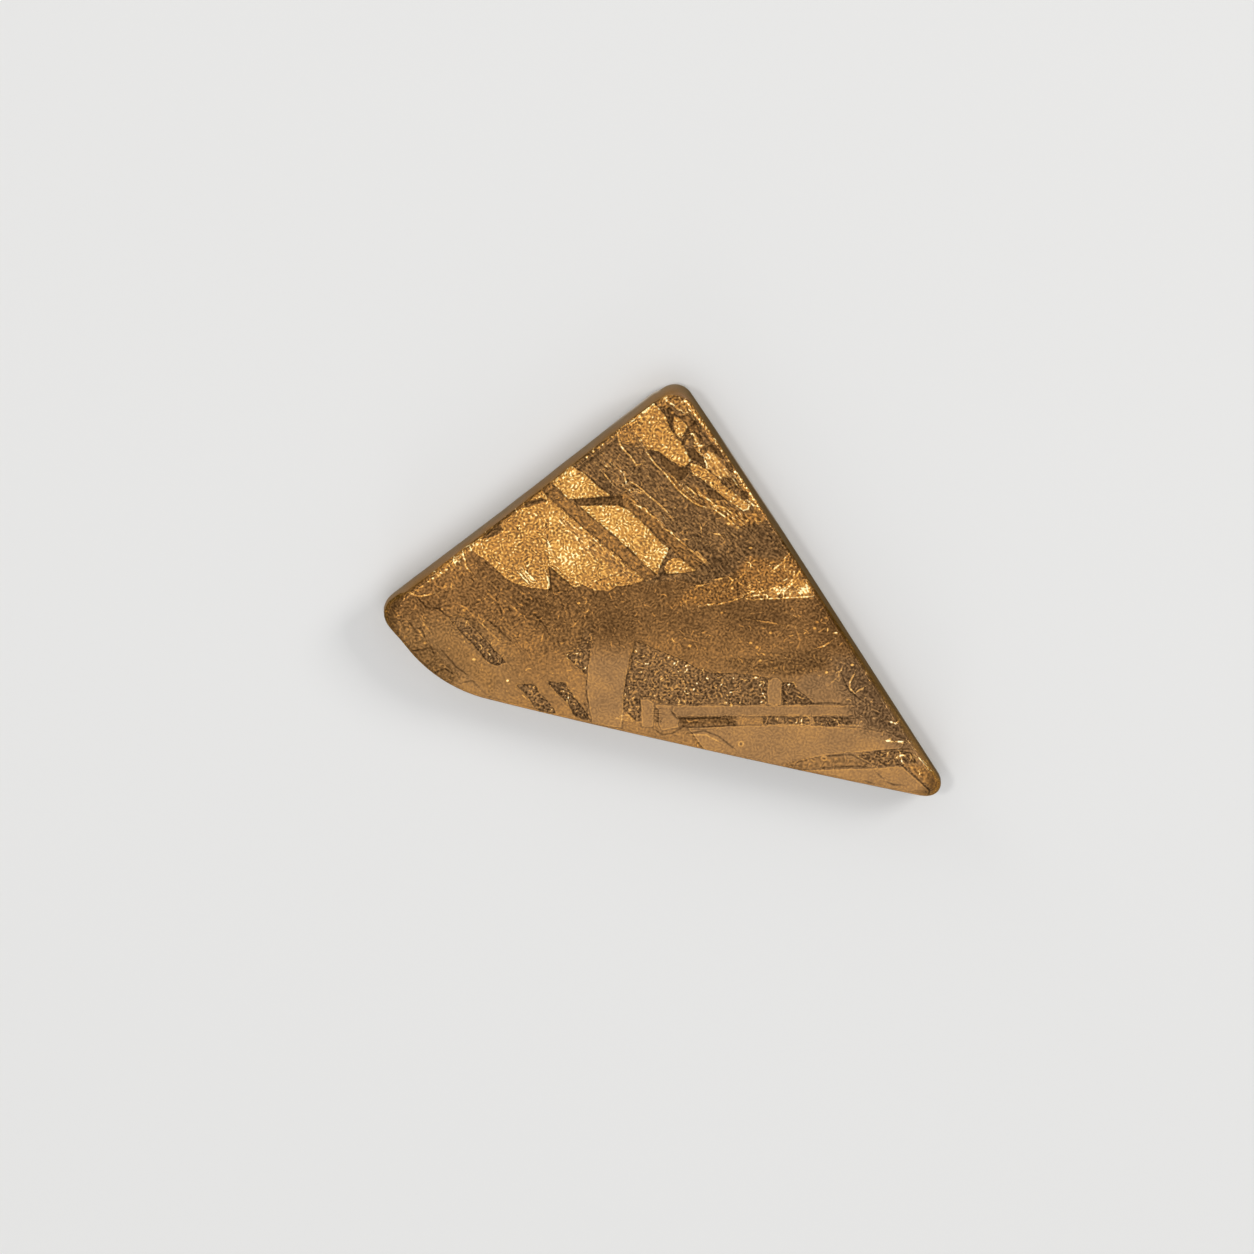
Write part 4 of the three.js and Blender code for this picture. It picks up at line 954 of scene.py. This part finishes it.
# The bright hairs are painted glints.
bright = face.maths("ADD", hairs(3.0, 2.6, painted_glints), hairs(21.0, 1.9, painted_glints))
fleck = both(near("fleck", 0.14, 0.07), uneven)
# Painted shade along the foot of a field's step, and a painted highlight along its upper edge.
painted_step_shade = both(face.step(edge, -0.13, -0.05), face.step(edge, 0.02, 0.0))
painted_step_highlight = both(face.step(edge, 0.0, 0.03), face.step(edge, 0.11, 0.05))
# Every mark, with how far it moves the level: the painted shade and the painted highlight along a field's
# step, grooves, the painted shade beside a ridge, ridges, threads, flecks, bright hairs that are painted
# glints, dark hairs, and the middle and rim of a small ring.
MARKS = (
    (painted_step_shade, -0.10),
    (painted_step_highlight, 0.10),
    (both(near("groove", 0.085, 0.03), uneven), -0.20),
    (both(face.step(ridge_gap, 0.05, 0.09), face.step(ridge_gap, 0.17, 0.11)), -0.08),
    (both(near("ridge", 0.075, 0.03), uneven), 0.38),
    (both(near("thread", 0.07, 0.025), uneven), 0.17),
    (fleck, 0.42),
    (both(bright, face.step(painted_glints, 0.2, 1.0, 0.6, 1.25)), 0.40),
    (both(hairs(47.0, 2.2, 0.8), face.read("spread")), -0.40),
    (face.step(eyelet_gap, 0.10, 0.05), -0.15),
    (both(face.step(eyelet_gap, 0.24, 0.17), face.step(eyelet_gap, 0.08, 0.14)), 0.17),
)
for mark, change in MARKS:
    level = face.times_plus(mark, change, level)
golden = face.ramp(level, *PALETTE)
tint = face.ramp(face.step(face.read("hue"), -1, 1), (0.0, YELLOWER), (0.5, UNCHANGED), (1.0, REDDER))
golden = face.blend(1.0, golden, tint, "MULTIPLY")
paler = face.blend(1.0, golden, GREYER, "MULTIPLY")
colour = face.blend(face.maths("SUBTRACT", face.read("pale"), fleck, clamp=True), golden, paler)
bare = face.use(ground_iron, Place=place, Stain=face.read("painted_shade"), Worn=face.read("painted_rim_light"))
rim = face.step(face.read("rim"), 0.03, -0.05)
face.join(face.blend(rim, colour, bare["Colour"]), shader["Base Color"])
# Less metal where the painted rim light lies on the rounded edge, so that it stays pale.
face.join(face.step(both(face.read("painted_rim_light"), rim), 0.0, 1.0, 1.0, RIM_LIGHT_METALLIC), shader["Metallic"])
face.join(face.step(crystal, 0.0, 1.0, 0.48, 0.34), shader["Roughness"])
shader["Specular Tint"].default_value = METAL_TINT
swell = both(crystal, both(face.read("spread"), 2.0))
bump = face.put("ShaderNodeBump", "Normal", Height=swell, Distance=0.02 * MM, Strength=1.0)
face.join(bump, shader["Normal"])

# The ground wall: bare iron with the acid's brown film, painted shade on its right-hand half and pale lines
# of painted rim light, matt from the abrasive.
wall, shader, place = material("ground_wall")
bare = wall.use(ground_iron, Place=place, Stain=wall.read("painted_shade"), Worn=wall.read("painted_rim_light"))
wall.join(bare["Colour"], shader["Base Color"])
wall.join(bare["Roughness"], shader["Roughness"])
wall.join(wall.step(wall.read("painted_rim_light"), 0.0, 1.0, 1.0, RIM_LIGHT_METALLIC), shader["Metallic"])
shader["Specular Tint"].default_value = METAL_TINT
bump = wall.put("ShaderNodeBump", "Normal", Height=bare["Height"], Distance=0.01 * MM, Strength=0.6)
wall.join(bump, shader["Normal"])

# The back: sawn and ground flat, never etched. Fine parallel marks of the saw still show, with dull blotches
# where it has been held and a few small pits.
SAWN_GREY = srgb(158, 151, 140)
HANDLED_BROWN = srgb(124, 102, 78)
PIT_BROWN = srgb(50, 40, 31)
back, shader, place = material("sawn_back")
bare = back.use(ground_iron, Place=place)
saw = back.noise(back.turned(place, (0.15, 5.0, 1), 0.5), 1.2, 4.0, Roughness=0.6)
blotch = back.noise(place, 0.16, 5.0, Roughness=0.6)
pit = back.put("ShaderNodeTexVoronoi", "Distance", dict(voronoi_dimensions="2D"), Vector=place, Scale=0.5)
chance = back.put("ShaderNodeSeparateColor", 0, Color=pit.node.outputs["Color"]).node.outputs
pit_radius = back.step(chance["Green"], 0.75, 1.0, 0.0, 0.08)
pit = back.step(back.maths("SUBTRACT", pit, pit_radius), 0.02, -0.02)
steel = back.blend(0.6, bare["Colour"], SAWN_GREY)
steel = back.scale(steel, back.step(saw, 0.3, 0.7, 0.80, 1.12))
steel = back.blend(back.step(blotch, 0.48, 0.68, 0.0, 0.55), steel, HANDLED_BROWN)
steel = back.blend(pit, steel, PIT_BROWN)
back.join(steel, shader["Base Color"])
back.join(back.step(saw, 0.3, 0.7, 0.46, 0.30), shader["Roughness"])
shader["Metallic"].default_value = 1
relief = back.maths("SUBTRACT", back.maths("MULTIPLY", saw, 0.4), pit)
bump = back.put("ShaderNodeBump", "Normal", Height=relief, Distance=0.03 * MM, Strength=1.0)
back.join(bump, shader["Normal"])

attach(etched_slice, "root")
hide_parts("meteorite_slice")


# The studio: a pale matt floor that the slice lies on, and five soft lights. The largest hangs overhead, and
# the smallest makes the crystal fields glint.
FLOOR_HALF = 0.6
FLOOR_COLOUR = (0.78, 0.77, 0.75, 1)
floor_corners = [(-FLOOR_HALF, -FLOOR_HALF, 0), (FLOOR_HALF, -FLOOR_HALF, 0),
                 (FLOOR_HALF, FLOOR_HALF, 0), (-FLOOR_HALF, FLOOR_HALF, 0)]
floor_mesh = bpy.data.meshes.new("floor")
floor_mesh.from_pydata(floor_corners, [], [(0, 1, 2, 3)])
floor = bpy.data.objects.new("floor", floor_mesh)
bpy.context.scene.collection.objects.link(floor)
paper = bpy.data.materials.new("pale_floor")
paper.use_nodes = True
paper_shader = paper.node_tree.nodes["Principled BSDF"].inputs
paper_shader["Base Color"].default_value = FLOOR_COLOUR
paper_shader["Roughness"].default_value = 0.9
floor_mesh.materials.append(paper)

world = bpy.data.worlds.new("studio")
bpy.context.scene.world = world
world.use_nodes = True
sky = world.node_tree.nodes["Background"].inputs
sky["Color"].default_value = (0.95, 0.97, 1.0, 1)
sky["Strength"].default_value = 0.5
bpy.context.scene.view_settings.view_transform = "Standard"


def soft_light(name, place, size, power):
    """A square area light at a place, turned to face the slice."""
    lamp = bpy.data.lights.new(name, "AREA")
    lamp.size = size
    lamp.energy = power
    made = bpy.data.objects.new(name, lamp)
    made.location = place
    made.rotation_euler = (-Vector(place)).to_track_quat("-Z", "Y").to_euler()
    bpy.context.scene.collection.objects.link(made)


soft_light("overhead", (-0.02, -0.19, 0.57), 0.50, 0.75)
soft_light("side", (0.45, 0.25, 0.30), 0.20, 1.3)
soft_light("glint", (-0.18, 0.10, 0.45), 0.07, 0.40)
soft_light("behind", (-0.33, 0.40, 0.12), 0.20, 0.4)
soft_light("front", (-0.06, -0.50, 0.09), 0.20, 0.35)

# The camera leans from straight above towards the face's +Y, by the photograph's own lean.
LEAN = np.radians(18)
PHOTO_WIDTH = 1254
PIXELS_PER_MM = 16.0
SLICE_MIDDLE_PIXEL = (662.5, 597.6)
LENS = 1200
SENSOR = 36
off = np.array((PHOTO_WIDTH / 2 - SLICE_MIDDLE_PIXEL[0], SLICE_MIDDLE_PIXEL[1] - PHOTO_WIDTH / 2))
off /= PIXELS_PER_MM
aim = Vector((off[0], off[1] / np.cos(LEAN), THICKNESS)) * MM
away = PHOTO_WIDTH / PIXELS_PER_MM * MM * LENS / SENSOR
lens = bpy.data.cameras.new("camera")
lens.lens = LENS
lens.sensor_width = SENSOR
lens.clip_start = 0.01
camera = bpy.data.objects.new("camera", lens)
toward_camera = Vector((0, np.sin(LEAN), np.cos(LEAN)))
picture_up = Vector((0, np.cos(LEAN), -np.sin(LEAN)))
turned = Matrix((Vector((1, 0, 0)), picture_up, toward_camera)).transposed().to_4x4()
camera.matrix_world = Matrix.Translation(aim + toward_camera * away) @ turned
bpy.context.scene.collection.objects.link(camera)
bpy.context.scene.camera = camera
